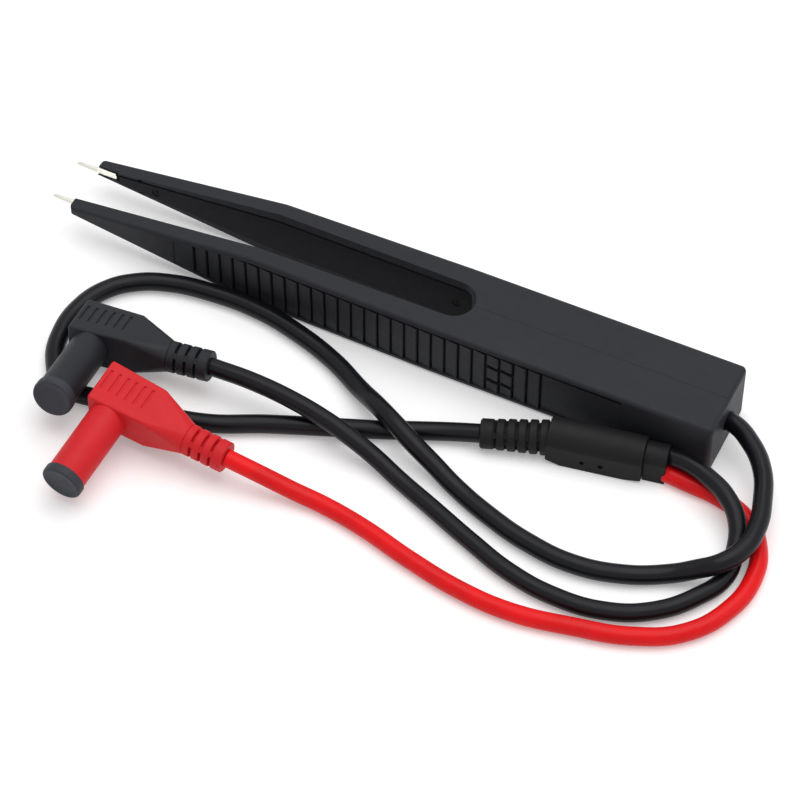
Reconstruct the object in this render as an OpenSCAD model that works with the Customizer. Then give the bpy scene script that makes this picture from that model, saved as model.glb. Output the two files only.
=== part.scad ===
// Test tweezers for small surface-mount parts, with a two-core cord,
// a junction and two leads that end in right-angle 4 mm plugs.
// X runs from the needle tips to the cord outlet, Y across the arms, Z up.
// The origin is at the middle of the tweezers, on the surface that they lie on.

/* [Body] */
// Length of the plastic body, without the needles
body_l = 145; // [142:0.5:150]
// Width across both halves at the tail
body_w = 18.8; // [18:0.1:20]
// Height of the body behind the knee
body_h = 13.8; // [13:0.1:15]
// Rounding of the long outer edges
edge_r = 1; // [0.5:0.1:1.4]
// Rounding of the tail's upright outer corners
corner_r = 1.2; // [1.1:0.1:1.6]
// Rounding of the edges round the end face
end_r = 0.8; // [0.5:0.1:1]
// Wall of the hollow tail
wall = 1.8; // [1.5:0.1:2.1]
// Thickness of the end wall where the cord leaves
end_wall = 2.4; // [1.8:0.1:3]
// Chamfer along the seam between the two halves
seam_chamfer = 0.15; // [0.05:0.05:0.3]
// Diameter of the assembly posts in the tail
post_d = 3.6; // [3.2:0.1:3.8]
// Diameter of the locating pins on the posts
post_pin_d = 2; // [1.6:0.1:2.2]
// Length of the locating pins
post_pin_l = 3; // [2:0.1:4]

/* [Arms] */
// Length of the arms, from the plastic tips to the round end of the slot
arm_l = 84.9; // [82:0.1:86]
// Width of the slot at its round end
slot_w = 9.2; // [8.8:0.1:9.6]
// Distance from the plastic tips to the knee, where the arms start to thin
knee_l = 43; // [40:0.5:46]
// Width across the arms at the knee
knee_w = 17.3; // [17:0.1:17.8]
// Width of the slot at the knee
knee_gap = 9.96; // [9.6:0.02:10.2]
// Width across the arms at the plastic tips
tip_w = 15.3; // [15:0.1:15.8]
// Width of the slot at the plastic tips
tip_gap = 9.3; // [9.1:0.1:9.6]
// Height of the plastic tips
tip_h = 1.9; // [1.7:0.1:2.4]
// Rounding of the tips' upright outer corners
tip_r = 1.2; // [0.8:0.1:1.4]
// Distance from the round end of the slot forward to the flexing root
root_l = 2.5; // [2:0.1:3]
// How far the rounded root of an arm reaches past the arm's own thickness
root_extra = 0.8; // [0.6:0.05:1]
// Angle through which each arm closes
close_angle = 3.05; // [2.8:0.01:3.05]

/* [Inner covers] */
// Distance from the plastic tips to the front end of the cover strips
cover_start = 10; // [9:0.5:12]
// Distance from the root axis back to the rear end of the cover strips
cover_end = 1; // [0.5:0.1:1.2]
// Height of the cover strips at their front end
cover_tip_h = 4; // [3.6:0.1:4.4]
// Rim of arm plastic above and below the cover strips
cover_rim = 2.3; // [2:0.1:2.8]
// Thickness of the cover strips
cover_t = 1; // [0.8:0.05:1.2]
// How far the strips lie below the arm's inner face
cover_sink = 0.1; // [0.05:0.05:0.2]
// Diameter of the pegs behind the cover strips
peg_d = 1.2; // [1:0.1:1.4]
// Length of the pegs
peg_l = 1.1; // [0.9:0.1:1.3]
// Distance of the pegs above and below the middle
peg_z = 2.6; // [2.2:0.1:3]
// Diameter of the round marks on the cover strips
mark_d = 1.8; // [1.4:0.1:2.2]
// Depth of the round marks
mark_depth = 0.1; // [0.05:0.05:0.2]

/* [Ribbed grip] */
// Distance from the plastic tips to the first groove
rib_start = 29.9; // [29:0.1:31.5]
// Spacing of the grooves
rib_pitch = 3.03; // [2.93:0.05:3.13]
// Number of grooves
rib_count = 27; // [24:1:28]
// Width of each groove
rib_cut_w = 0.5; // [0.4:0.05:0.7]
// Depth of each groove
rib_cut_d = 0.9; // [0.7:0.05:1]
// Distance from the plastic tips to the front end of the grip's recess
grip_start = 25; // [24:0.5:28]
// Length of the grip's recess
grip_l = 100.8; // [98:0.2:102]
// Depth of the grip's recess
grip_depth = 0.35; // [0.2:0.05:0.5]
// Height of the recess above the underside
grip_low = 1.4; // [1.2:0.1:1.8]
// Height of the recess
grip_h = 10.1; // [9.6:0.1:10.6]
// Height of the two cross slots in the last ribs
hash_h = 1; // [0.8:0.05:1.2]
// Spacing of the two cross slots
hash_pitch = 4; // [3.6:0.1:4.4]
// Groove at which the cross slots start, and groove at which they end
hash_ribs = [22, 24];

/* [Contacts] */
// Length of the needles in front of the plastic
needle_l = 5; // [4:0.25:6]
// Diameter of a needle at its point
needle_tip_d = 0.6; // [0.4:0.05:0.8]
// Diameter of a needle at its root
needle_d = 1; // [0.9:0.05:1.2]
// Distance between the needle axes with the arms open
needle_gap = 10.2; // [10.2:0.05:10.4]
// Length of the bare blade behind each needle, which lies in a step of the arm's inner face
blade_l = 5; // [4:0.25:5.5]
// Height of the blade
blade_h = 1.5; // [1.3:0.05:1.6]
// Thickness of the blade
blade_t = 0.4; // [0.3:0.05:0.5]
// How far the tang that the plastic holds stops in front of the cover strip
tang_stop = 0.6; // [0.4:0.05:1]
// Height of the tang
tang_h = 1; // [0.8:0.05:1.1]

/* [Cord and leads] */
// Diameter of the two-core cord
cord_d = 3.9; // [3.7:0.05:4]
// Diameter of the black and red leads
lead_d = 3.7; // [3.5:0.05:3.8]
// Diameter of the insulated core wires
wire_d = 1; // [0.9:0.05:1.1]
// Length of the clamp on the cord inside the tail
clamp_l = 5; // [4.5:0.1:5.5]
// Width of the clamp
clamp_w = 8; // [7:0.1:9]
// Height of the clamp
clamp_h = 7; // [6:0.1:8]
// Thickness of the ribs on each side of the clamp
clamp_rib = 1; // [0.8:0.05:1.2]
// Distance from the end of the body to the rear rib's outer face
clamp_back = 4.8; // [4.4:0.1:5.2]

/* [Junction] */
// Length of the junction's block
block_l = 19.5; // [18:0.1:20]
// Width of the block
block_w = 7.2; // [7:0.1:7.6]
// Height of the block's upright sides
block_side_h = 5; // [4.6:0.1:5.4]
// Height of the vaulted top above the sides
block_vault_h = 2.7; // [2.2:0.1:3]
// Length of the end collar
collar_l = 4.6; // [4:0.1:4.8]
// Width of the end collar
collar_w = 5.6; // [5.2:0.1:5.8]
// Height of the end collar
collar_h = 6.9; // [6.6:0.1:7.2]
// Length of the ribbed boot
boot_l = 13.7; // [12.5:0.1:14]
// Number of rings on the boot
boot_rings = 5; // [4:1:5]
// Diameter of the boot's last and largest ring
boot_d = 7.2; // [7:0.1:7.4]
// Diameter of the boot's first ring
boot_small_d = 6.1; // [5.8:0.1:6.4]
// Diameter between the boot's rings
boot_neck_d = 4.6; // [4.4:0.1:5]
// Length of the splice sleeves
splice_l = 9; // [8:0.25:10]
// Diameter of the splice sleeves
splice_d = 2.5; // [2.2:0.1:2.7]
// From the block's boot end to the first of the two small holes in its side
hole_x = 7.5; // [6:0.1:12]
// Step from one small hole to the next
hole_pitch = 3.8; // [2:0.1:5]
// Diameter of the small holes
hole_d = 1.1; // [0.7:0.1:1.3]
// Depth of the small holes
hole_depth = 0.4; // [0.3:0.1:0.8]

/* [Plugs] */
// Length of the plug's body along the lead
plug_l = 13.3; // [13:0.1:14]
// Width of the plug's body along the pin
plug_w = 10.1; // [9.8:0.1:10.6]
// Thickness of the plug's body
plug_h = 7.8; // [7.6:0.1:8]
// Distance from the pin axis to the plug's closed end
plug_back = 4.8; // [4.6:0.1:5]
// Length of the shoulder that narrows to the strain relief
shoulder_l = 7.7; // [7.2:0.1:8]
// Distance from the body's middle to the lead's axis, towards the pin
lead_offset = 1.3; // [1:0.1:1.6]
// Diameter of the shoulder where it meets the relief
shoulder_d = 6.4; // [6:0.1:6.6]
// Length of the slotted strain relief
relief_l = 8.8; // [8.4:0.1:9.4]
// Number of rings on the strain relief
relief_rings = 4; // [3:1:4]
// Diameter of the relief's rings
relief_d = 6.4; // [6.2:0.1:6.8]
// Diameter between the rings
relief_neck_d = 4.6; // [4.4:0.1:5]
// Length of each ring
ring_l = 1.6; // [1.4:0.05:1.7]
// Length of the last ring, round the lead's exit
ring_end_l = 2.2; // [1.8:0.1:2.6]
// Number of grip grooves on each flat face
grip_lines = 6; // [5:1:6]
// Spacing of the grip grooves
grip_line_pitch = 1.9; // [1.7:0.05:2]
// Width of a grip groove
grip_line_w = 0.5; // [0.4:0.05:0.6]
// Length of a grip groove
grip_line_l = 4.6; // [4.2:0.1:5]
// Depth of a grip groove
grip_line_depth = 0.3; // [0.2:0.05:0.4]
// Outer diameter of the insulating shroud
shroud_d = 8; // [7.8:0.05:8.2]
// Bore of the shroud
shroud_bore = 6.6; // [6.4:0.05:6.7]
// Length of the shroud in front of the plug's body
shroud_l = 16.4; // [15:0.2:17.6]
// Diameter of the pin
pin_d = 4; // [3.95:0.01:4]
// Diameter of the pin's shank, which the body holds
pin_shank_d = 3.2; // [3:0.1:3.4]
// Length of the shank that shows between the shroud's floor and the pin
pin_stand = 0.4; // [0.3:0.1:1]
// Depth of the pin's end inside the shroud's mouth
pin_inset = 1.5; // [1:0.1:2.5]
// Width of the cross slits that make the pin springy
pin_slit_w = 0.5; // [0.4:0.02:0.5]
// Length of the cross slits
pin_slit_l = 7; // [5:0.5:7]
// Diameter of the pull-off cap
cap_d = 9; // [8.9:0.05:9.4]
// Length of the cap in front of the shroud's mouth
cap_nose = 1.3; // [1.2:0.1:2]
// How far the cap reaches over the shroud
cap_overlap = 1.2; // [1:0.1:1.6]
// Thickness of the cap's end
cap_end_t = 0.9; // [0.8:0.05:1]

/* [Clearances] */
// Gap between an arm's rounded root and its seat in the tail
root_clearance = 0.25; // [0.2:0.01:0.35]
// Gap round a cover strip in its recess
cover_clearance = 0.1; // [0.06:0.01:0.15]
// Gap between a peg, pin or sleeve and its hole, on the radius
pin_clearance = 0.05; // [0.03:0.01:0.08]
// Gap round the contact's blade in its window
contact_clearance = 0.1; // [0.05:0.01:0.15]
// Gap round a wire in its passage, on the radius
wire_clearance = 0.3; // [0.2:0.02:0.35]
// Gap between the clamp and the ribs on each side
clamp_clearance = 0.1; // [0.05:0.01:0.15]
// Gap round the cord in the end wall, on the radius
outlet_clearance = 0.1; // [0.05:0.01:0.15]

/* [Hidden] */

$fn = 48;
corner_fn = 24;
cord_sides = 8;
slice = 0.01;
past = 1;
// Share of the half-height that the edge rounding may take at the thin tips
tip_rounding = 0.6;

// Places along the tweezers
x_end = (body_l + needle_l) / 2;
x_tip = x_end - body_l;
x_knee = x_tip + knee_l;
x_slot = x_tip + arm_l;
x_pivot = x_slot - root_l;
x_cavity = x_slot + slot_w / 2 + wall;
x_cavity_end = x_end - end_wall;
mid_z = body_h / 2;

// The root of each arm, about which it flexes
root_t = (body_w - slot_w) / 2;
pivot_y = (body_w + slot_w) / 4;
root_r = root_t / 2 + root_extra;
x_split = x_pivot + sqrt(root_r * root_r - root_t * root_t / 4);
seat_r = root_r + root_clearance;

// Where the cord's sheath ends inside the tail
cord_inside = 11;
cord_start_x = x_end - cord_inside;

cord_r = cord_d / 2;
wire_r = wire_d / 2;
passage_r = wire_r + wire_clearance;
groove_r = passage_r + 0.1;
x_groove_end = x_pivot - 2 * root_r + wire_r;
needle_y = needle_gap / 2;

// Half-width outside, half-width of the slot and half-height at a place along the arm
function outer_y(x) = lookup(x, [[x_tip, tip_w / 2], [x_knee, knee_w / 2],
    [x_slot, body_w / 2], [x_end, body_w / 2]]);
function inner_y(x) = lookup(x, [[x_tip, tip_gap / 2], [x_knee, knee_gap / 2],
    [x_slot, slot_w / 2]]);
function half_h(x) = lookup(x, [[x_tip, tip_h / 2], [x_knee, body_h / 2]]);
function rib_x(i) = x_tip + rib_start + i * rib_pitch;

// Cross-section of one half, drawn in Y and Z, with its outer corners rounded
module section(x) {
    r = min(edge_r, half_h(x) * tip_rounding);
    w = outer_y(x);
    h = half_h(x);
    translate([0, -h]) square([w - r, 2 * h]);
    translate([0, r - h]) square([w, 2 * (h - r)]);
    for (side = [-1, 1]) translate([w - r, side * (h - r)]) circle(r, $fn = corner_fn);
}

// A thin slice of one half at a place along it
module station(x) {
    translate([x, 0, mid_z]) rotate([90, 0, 90]) linear_extrude(slice) section(x);
}

// The outer form of the far half, tips, knee and tail
module half_form() {
    hull() {
        station(x_tip);
        station(x_knee);
    }
    hull() {
        station(x_knee);
        station(x_slot);
    }
    translate([x_slot, 0, mid_z]) rotate([90, 0, 90]) linear_extrude(x_end - x_slot) section(x_end);
}

// A prism with its outline in X and Y, standing from z0 to z1
module upright(z0, z1) {
    translate([0, 0, z0]) linear_extrude(z1 - z0) children();
}

// The slot between the arms, with its round end
module slot_cut() {
    upright(-past, body_h + past) {
        polygon([
            [x_tip - past, 0], [x_tip - past, inner_y(x_tip)], [x_knee, inner_y(x_knee)],
            [x_slot, slot_w / 2], [x_slot, 0]
        ]);
        translate([x_slot, 0]) circle(d = slot_w);
    }
}

// What belongs to the arm: all in front of the root axis and the round root itself
module arm_region(r) {
    translate([x_tip - past, 0, -past]) cube([x_pivot - x_tip + past, body_w, body_h + 2 * past]);
    translate([x_pivot, pivot_y, -past]) cylinder(r = r, h = body_h + 2 * past);
}

// The recess and the grooves of the ribbed grip between two places
module grip_cuts(x_from, x_to) {
    x0 = max(x_from, x_tip + grip_start);
    x1 = min(x_to, x_tip + grip_start + grip_l);
    upright(grip_low, grip_low + grip_h)
        polygon(concat(
            [for (x = [x0, x_knee, x_slot, x1]) if (x >= x0 && x <= x1) [x, outer_y(x) - grip_depth]],
            [[x1, body_w], [x0, body_w]]
        ));
    for (i = [0:rib_count - 1]) if (rib_x(i) > x_from && rib_x(i) < x_to)
        translate([rib_x(i) - rib_cut_w / 2, outer_y(rib_x(i)) - rib_cut_d, grip_low])
            cube([rib_cut_w, body_w, body_h - grip_low - edge_r + rib_cut_w / 4]);
}

// The two short slots that cross the last ribs
module hash_cuts() {
    x0 = rib_x(hash_ribs[0]);
    x1 = rib_x(hash_ribs[1]);
    for (k = [-1, 1])
        translate([x0, outer_y(x0) - rib_cut_d - grip_depth,
                grip_low + grip_h / 2 + k * hash_pitch / 2 - hash_h / 2])
            cube([x1 - x0, body_w, hash_h]);
}

// Rounding of the tail's outer corner and of the upper and lower edges of its end
module end_cut() {
    upright(-past, body_h + past) corner(body_w / 2, corner_r);
    for (up = [0, 1]) translate([0, body_w, mid_z]) mirror([0, 0, up]) rotate([90, 0, 0])
        linear_extrude(body_w + past) corner(body_h / 2, end_r);
}

// What a rounding takes off the corner at x_end and a half-width
module corner(w, r) {
    difference() {
        translate([x_end - r, w - r]) square(r + past);
        translate([x_end - r, w - r]) circle(r);
    }
}

// Small chamfer along the seam on the top, the underside and the end face
module seam_cut() {
    for (z = [0, body_h]) translate([x_slot, 0, z]) rotate([45, 0, 0])
        translate([0, -seam_chamfer, -seam_chamfer])
            cube([body_l, 2 * seam_chamfer, 2 * seam_chamfer]);
    translate([x_end, 0, -past]) rotate([0, 0, 45])
        translate([-seam_chamfer, -seam_chamfer, 0])
            cube([2 * seam_chamfer, 2 * seam_chamfer, body_h + 2 * past]);
}

// Where the assembly posts stand: two pairs, in front and behind the middle of the cavity
post_sink = 0.2;
post_xs = [
    x_cavity + post_d / 2 + wall + past, x_end - clamp_back - 2 * clamp_rib - clamp_l - post_d
];
post_zs = [wall + post_d / 2 - post_sink, body_h - wall - post_d / 2 + post_sink];

// One half of the tail without its posts, on the far side
module tail_half() {
    x_rib_rear = x_end - clamp_back - clamp_rib;
    x_rib_front = x_rib_rear - clamp_l - clamp_rib - 2 * clamp_clearance;
    difference() {
        half_form();
        slot_cut();
        arm_region(seat_r);
        translate([x_cavity, -past, wall])
            cube([x_cavity_end - x_cavity, past + body_w / 2 - wall, body_h - 2 * wall]);
        translate([x_cavity_end - past, 0, mid_z]) rotate([0, 90, 0])
            cylinder(r = cord_r + outlet_clearance, h = end_wall + 2 * past);
        translate([x_pivot, pivot_y, mid_z]) rotate([0, 90, 0])
            cylinder(r = passage_r, h = x_cavity - x_pivot + past);
        grip_cuts(x_split, x_end);
        hash_cuts();
        end_cut();
        seam_cut();
    }
    for (x = [x_rib_front, x_rib_rear]) difference() {
        translate([x, 0, wall / 2]) cube([clamp_rib, (body_w - wall) / 2, body_h - wall]);
        translate([x - past, 0, mid_z]) rotate([0, 90, 0])
            cylinder(r = cord_r + outlet_clearance, h = clamp_rib + 2 * past);
    }
}

// Places each child at every post, drawn outwards from the seam
module at_posts() {
    for (x = post_xs, z = post_zs) translate([x, 0, z]) rotate([-90, 0, 0]) children();
}

module tail_far() {
    color([0.2, 0.2, 0.21]) {
        tail_half();
        at_posts() cylinder(d = post_d, h = (body_w - wall) / 2);
        at_posts() translate([0, 0, -post_pin_l]) cylinder(d = post_pin_d, h = post_pin_l + past);
    }
}

module tail_near() {
    color([0.2, 0.2, 0.21]) mirror([0, 1, 0]) {
        tail_half();
        difference() {
            at_posts() cylinder(d = post_d, h = (body_w - wall) / 2);
            at_posts() translate([0, 0, -past])
                cylinder(r = post_pin_d / 2 + pin_clearance, h = post_pin_l + past + pin_clearance);
        }
    }
}

// Half-height of a cover strip at a place along the arm
function cover_half_h(x) = lookup(x, [[x_tip + cover_start, cover_tip_h / 2],
    [x_knee, body_h / 2 - cover_rim]]);

// Side outline of a cover strip, grown by a gap
module cover_outline(gap) {
    x0 = x_tip + cover_start;
    x1 = x_pivot + cover_end;
    polygon([
        [x0 - gap, -cover_half_h(x0) - gap], [x_knee, -cover_half_h(x_knee) - gap],
        [x1 + gap, -cover_half_h(x1) - gap], [x1 + gap, cover_half_h(x1) + gap],
        [x_knee, cover_half_h(x_knee) + gap], [x0 - gap, cover_half_h(x0) + gap]
    ]);
}

// The layer of an arm between two depths behind its inner face, outline in X and Y
module inner_layer(depth0, depth1) {
    xs = [x_tip - past, x_knee, x_slot];
    polygon(concat(
        [for (x = xs) [x, inner_y(x) + depth0]],
        [for (i = [2, 1, 0]) [xs[i], inner_y(xs[i]) + depth1]]
    ));
}

// A cover strip's volume, grown by a gap, down to a depth
module cover_block(depth0, depth1, gap) {
    intersection() {
        upright(0, body_h) inner_layer(depth0, depth1);
        translate([0, body_w, mid_z]) rotate([90, 0, 0]) linear_extrude(2 * body_w) cover_outline(gap);
    }
}

cover_floor = cover_sink + cover_t + pin_clearance;
peg_front = 12;
peg_back = 8;
mark_front = 4;
mark_back = 1.5;
peg_xs = [x_tip + cover_start + peg_front, x_knee, (x_knee + x_pivot) / 2, x_pivot - peg_back];
mark_xs = [x_tip + cover_start + mark_front, x_pivot - mark_back];

// Half-height at which a peg stands at a place along the arm
function peg_dz(x) = min(peg_z, cover_half_h(x) - peg_d);

module pegs(r, l) {
    for (x = peg_xs, side = [-1, 1])
        translate([x, inner_y(x) + cover_sink + cover_t - past / 2, mid_z + side * peg_dz(x)])
            rotate([-90, 0, 0]) cylinder(r = r, h = past / 2 + l, $fn = corner_fn);
}

module inner_cover() {
    color([0.15, 0.15, 0.16]) {
        difference() {
            cover_block(cover_sink, cover_sink + cover_t, 0);
            for (x = mark_xs) translate([x, 0, mid_z]) rotate([-90, 0, 0])
                cylinder(d = mark_d, h = inner_y(x) + cover_sink + mark_depth);
        }
        pegs(peg_d / 2, peg_l);
    }
}
module inner_cover_far() { inner_cover(); }
module inner_cover_near() { mirror([0, 1, 0]) inner_cover(); }

// The contact: a needle, a rounded blade and a tang, on the far side
x_blade_end = x_tip + blade_l;
x_tang_end = x_tip + cover_start - tang_stop;
tang_l = x_tang_end - x_blade_end;

module contact() {
    color([0.86, 0.82, 0.74]) {
        translate([x_tip - needle_l, needle_y, mid_z]) rotate([0, 90, 0])
            cylinder(d1 = needle_tip_d, d2 = needle_d, h = needle_l + blade_t);
        translate([0, needle_y + blade_t / 2, mid_z]) rotate([90, 0, 0]) linear_extrude(blade_t) {
            translate([x_tip, -blade_h / 2]) square([blade_l - blade_h / 2, blade_h]);
            translate([x_blade_end - blade_h / 2, 0]) circle(d = blade_h);
            translate([x_blade_end - blade_h, -tang_h / 2]) square([tang_l + blade_h, tang_h]);
        }
    }
}
module contact_far() { contact(); }
module contact_near() { mirror([0, 1, 0]) contact(); }

// Route of the wire in an arm, from the root axis to the tang
wire_gap = 0.15;
wire_rise = 0.1;
wire_lap = 1.2;
wire_y = cover_floor + wire_r + wire_rise;
arm_wire_route = [
    [x_pivot - wire_gap, pivot_y], [x_groove_end, pivot_y],
    [x_knee + 5 * wire_lap, inner_y(x_knee) + wire_y],
    [x_tang_end + tang_stop + 2 * wire_gap, inner_y(x_tang_end) + wire_y],
    [x_tang_end - wire_lap, needle_y + blade_t / 2 + wire_r + wire_rise / 2]
];

// The groove for the wire and the tang behind a cover strip
module wire_groove() {
    upright(mid_z - groove_r, mid_z + groove_r) polygon(concat(
        [for (i = [1:4]) arm_wire_route[i] + [0, groove_r]],
        [
            [x_tang_end - 2 * wire_lap, needle_y + blade_t / 2 + 2 * wire_r],
            [x_tang_end - 2 * wire_lap, inner_y(x_tip)],
            [x_knee, inner_y(x_knee)],
            [x_groove_end, inner_y(x_groove_end)]
        ]
    ));
    translate([x_groove_end - past, pivot_y, mid_z]) rotate([0, 90, 0])
        cylinder(r = passage_r, h = x_pivot + root_r - x_groove_end + 2 * past);
}

// Room for the contact: the step that the blade lies in and the slot that holds the tang
module contact_room() {
    g = contact_clearance;
    translate([x_tip - past, 0, 0])
        cube([blade_l + past + g, needle_y + blade_t / 2 + g, body_h]);
    translate([x_tip + blade_l / 2, needle_y - blade_t / 2 - g, mid_z - tang_h / 2 - g])
        cube([blade_l / 2 + tang_l + g, blade_t + 2 * g, tang_h + 2 * g]);
    translate([x_tip - past, needle_y, mid_z]) rotate([0, 90, 0])
        cylinder(d = needle_d + 2 * g, h = past + 2 * blade_t + g);
}

module arm() {
    color([0.2, 0.2, 0.21]) difference() {
        intersection() {
            half_form();
            arm_region(root_r);
        }
        slot_cut();
        grip_cuts(x_tip, x_split - rib_cut_w);
        translate([rib_x(floor((x_split - rib_start - x_tip) / rib_pitch)) - rib_cut_w / 2,
                outer_y(x_split) - rib_cut_d, grip_low])
            cube([root_r, body_w, body_h - grip_low - edge_r + rib_cut_w / 4]);
        cover_block(-past, cover_floor, cover_clearance);
        pegs(peg_d / 2 + pin_clearance, peg_l + pin_clearance);
        wire_groove();
        contact_room();
        translate([x_tip + x_end, 0, 0]) mirror([1, 0, 0])
            upright(-past, body_h + past) corner(outer_y(x_tip + tip_r), tip_r);
    }
}
module arm_far() { arm(); }
module arm_near() { mirror([0, 1, 0]) arm(); }

// One point of a ring: the ring's frame is upright, so a level cord keeps its shape
function ring_side(d) = let (n = norm([d[0], d[1]])) [-d[1] / n, d[0] / n, 0];
function unit(v) = v / norm(v);
function way(route, i) = unit(unit(route[min(i + 1, len(route) - 1)] - route[max(i - 1, 0)]));
function ring(route, i, r, sides) = let (
        d = way(route, i), s = ring_side(d), u = cross(d, s)
    ) [for (k = [0:sides - 1]) route[i] + r * (s * cos(360 * (k + 0.5) / sides)
        + u * sin(360 * (k + 0.5) / sides))];

// A tube swept along a route, one ring at each of its points
module tube(route, r, sides) {
    last = len(route) - 1;
    points = [for (i = [0:last]) each ring(route, i, r, sides)];
    walls = [for (i = [0:last - 1], k = [0:sides - 1]) let (
            a = i * sides + k, b = i * sides + (k + 1) % sides
        ) [a, a + sides, b + sides, b]];
    polyhedron(points, concat(
        [[for (k = [0:sides - 1]) k]], walls, [[for (k = [sides - 1:-1:0]) last * sides + k]]
    ));
}

function at_mid_z(route) = [for (p = route) [p[0], p[1], mid_z]];

module arm_wire(insulation) {
    color(insulation) tube(at_mid_z(arm_wire_route), wire_r, cord_sides);
}
module arm_wire_far() { arm_wire([0.75, 0.1, 0.1]); }
module arm_wire_near() { mirror([0, 1, 0]) arm_wire([0.1, 0.1, 0.1]); }

// Route of a wire from the cord's end in the tail to the root of an arm
tail_wire_route = [
    [cord_start_x - wire_rise, cord_d / 4], [cord_start_x - 10, 2], [x_cavity + 16, 4.8],
    [x_cavity + 2, pivot_y - wire_rise], [x_cavity - 2, pivot_y], [x_pivot + wire_gap, pivot_y]
];
module tail_wire(insulation) {
    color(insulation) tube(at_mid_z(tail_wire_route), wire_r, cord_sides);
}
module tail_wire_far() { tail_wire([0.75, 0.1, 0.1]); }
module tail_wire_near() { mirror([0, 1, 0]) tail_wire([0.1, 0.1, 0.1]); }

module cord_clamp() {
    x0 = x_end - clamp_back - clamp_rib - clamp_l - clamp_clearance;
    color([0.7, 0.7, 0.72]) translate([x0, 0, mid_z]) rotate([90, 0, 90]) linear_extrude(clamp_l)
        difference() {
            union() {
                square([clamp_w, clamp_h - 2 * edge_r], center = true);
                square([clamp_w - 2 * edge_r, clamp_h], center = true);
                for (a = [-1, 1], b = [-1, 1])
                    translate([a * (clamp_w / 2 - edge_r), b * (clamp_h / 2 - edge_r)]) circle(edge_r);
            }
            circle(cord_r + pin_clearance);
        }
}

// The cord's route, from inside the tail to the junction's boot
cord_route = [
    [cord_start_x, 0, mid_z], [x_end + past, 0, mid_z], [81, -3, 6.9], [85.5, -8, 6.7], [88.5, -15, 6.5],
    [90, -21.5, 6.4], [89.5, -27.5, 6.3], [87, -31.8, 5.8], [82.5, -34.2, 3.8], [78, -36.2, 2.2],
    [70, -40, 2], [60, -42, 2], [50, -41, 2], [41, -38.5, 2], [32, -35, 2.1],
    [26, -32.6, 3.4], [21, -31, 5.1], [15.5, -28.5, 6], [10.5, -25.5, 5.2], [4.5, -21.5, 3],
    [-4, -16.5, 2], [-14, -13, 2], [-24, -11, 2], [-35, -11, 2], [-44, -12.5, 2],
    [-50.5, -15.5, 2], [-55, -20, 2], [-57.5, -26.5, 2], [-57.5, -34, 2], [-55, -41, 2],
    [-50, -46, 2], [-43, -46, 2], [-32, -44.5, 2], [-20, -42, 2], [-9, -37, 2],
    [2, -32.5, 2], [12, -28.5, 2], [21, -24.5, 2], [26, -22.7, 2.4], [31, -21.3, 3.1]
];
black_route = [
    [67.7, -11.7, 5.1], [72, -12.3, 5.7], [77, -14, 5.8], [81.5, -16.5, 5.7],
    [85.5, -20.5, 4.6], [87.5, -26, 2.6], [88, -32, 1.9], [85, -38.5, 1.9],
    [78.5, -45.5, 1.9], [70, -49.5, 1.9], [60, -50.5, 1.9], [50, -49, 1.9],
    [40, -45.5, 1.9], [30, -41.5, 1.9], [21, -38, 2], [15, -36, 3.2], [9.5, -35, 5],
    [3, -33.7, 6], [-5, -32.5, 6.6], [-14.5, -32, 7.1], [-23.6, -32.2, 7.1]
];
red_route = [
    [67.7, -13.6, 1.9], [72, -14, 1.9], [80, -14.8, 1.9], [86.5, -17.3, 1.9],
    [91, -22.5, 1.9], [93, -30, 1.9], [91.5, -39, 1.9], [86, -47.5, 1.9],
    [77.5, -52.5, 1.9], [66, -55.5, 1.9], [54, -57.5, 1.9], [43, -57, 1.9],
    [31, -54.6, 1.9], [20, -51.7, 1.9], [11, -50.2, 2], [4, -50.2, 2.9],
    [-3, -50.8, 5], [-10.3, -50.9, 6.3]
];

module duplex_cord() { color([0.12, 0.12, 0.12]) tube(cord_route, cord_r, cord_sides); }
module black_lead() { color([0.1, 0.1, 0.1]) tube(black_route, lead_d / 2, cord_sides); }
module red_lead() { color([0.85, 0.12, 0.15]) tube(red_route, lead_d / 2, cord_sides); }

// The junction lies level: its boot starts at the cord's last point
boot_start = cord_route[len(cord_route) - 1];
boot_turn = 19;
block_turn = 10;
boot_lift = 0.1;
boot_rise = boot_d / 2 + boot_lift - boot_start[2];
boot_end = boot_start + [boot_l * cos(boot_turn), boot_l * sin(boot_turn), boot_rise];
block_z = 0.05;
axis_z = boot_end[2];

// Places children at the block's boot end, +X towards the leads, z from the table
module at_block() { translate([boot_end[0], boot_end[1], block_z]) rotate([0, 0, block_turn])
    children(); }
// Places children along the boot, +X towards the block
module at_boot() {
    translate(boot_start) rotate([0, 90 - atan(boot_rise / boot_l), boot_turn]) children();
}

// The boot's first ring is a plain collar; the others grow towards the block and fill a share
// of their spacing
boot_first_l = 2.75;
boot_ring_share = 0.75;
boot_pitch = (boot_l - boot_first_l) / boot_rings;
web_w = 1.2;
web_inset = 0.25;

// Two crossed webs that join the rings round a neck
module webs(d, l) {
    for (turn = [45, 135]) rotate([0, 0, turn])
        translate([web_inset - d / 2, -web_w / 2, 0]) cube([d - 2 * web_inset, web_w, l]);
}

module junction_boot() {
    color([0.1, 0.1, 0.1]) difference() {
        at_boot() {
            cylinder(d = boot_small_d, h = boot_first_l);
            cylinder(d = boot_neck_d, h = boot_l + past);
            webs(boot_small_d, boot_l);
            for (i = [1:boot_rings])
                translate([0, 0, boot_first_l + boot_pitch * (i - boot_ring_share)]) cylinder(
                    d = boot_small_d + (boot_d - boot_small_d) * i / boot_rings,
                    h = boot_pitch * boot_ring_share + (i == boot_rings ? past : 0));
        }
        at_block() translate([0, -block_w, -block_w]) cube([block_w, 2 * block_w, 3 * block_w]);
    }
}

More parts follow.
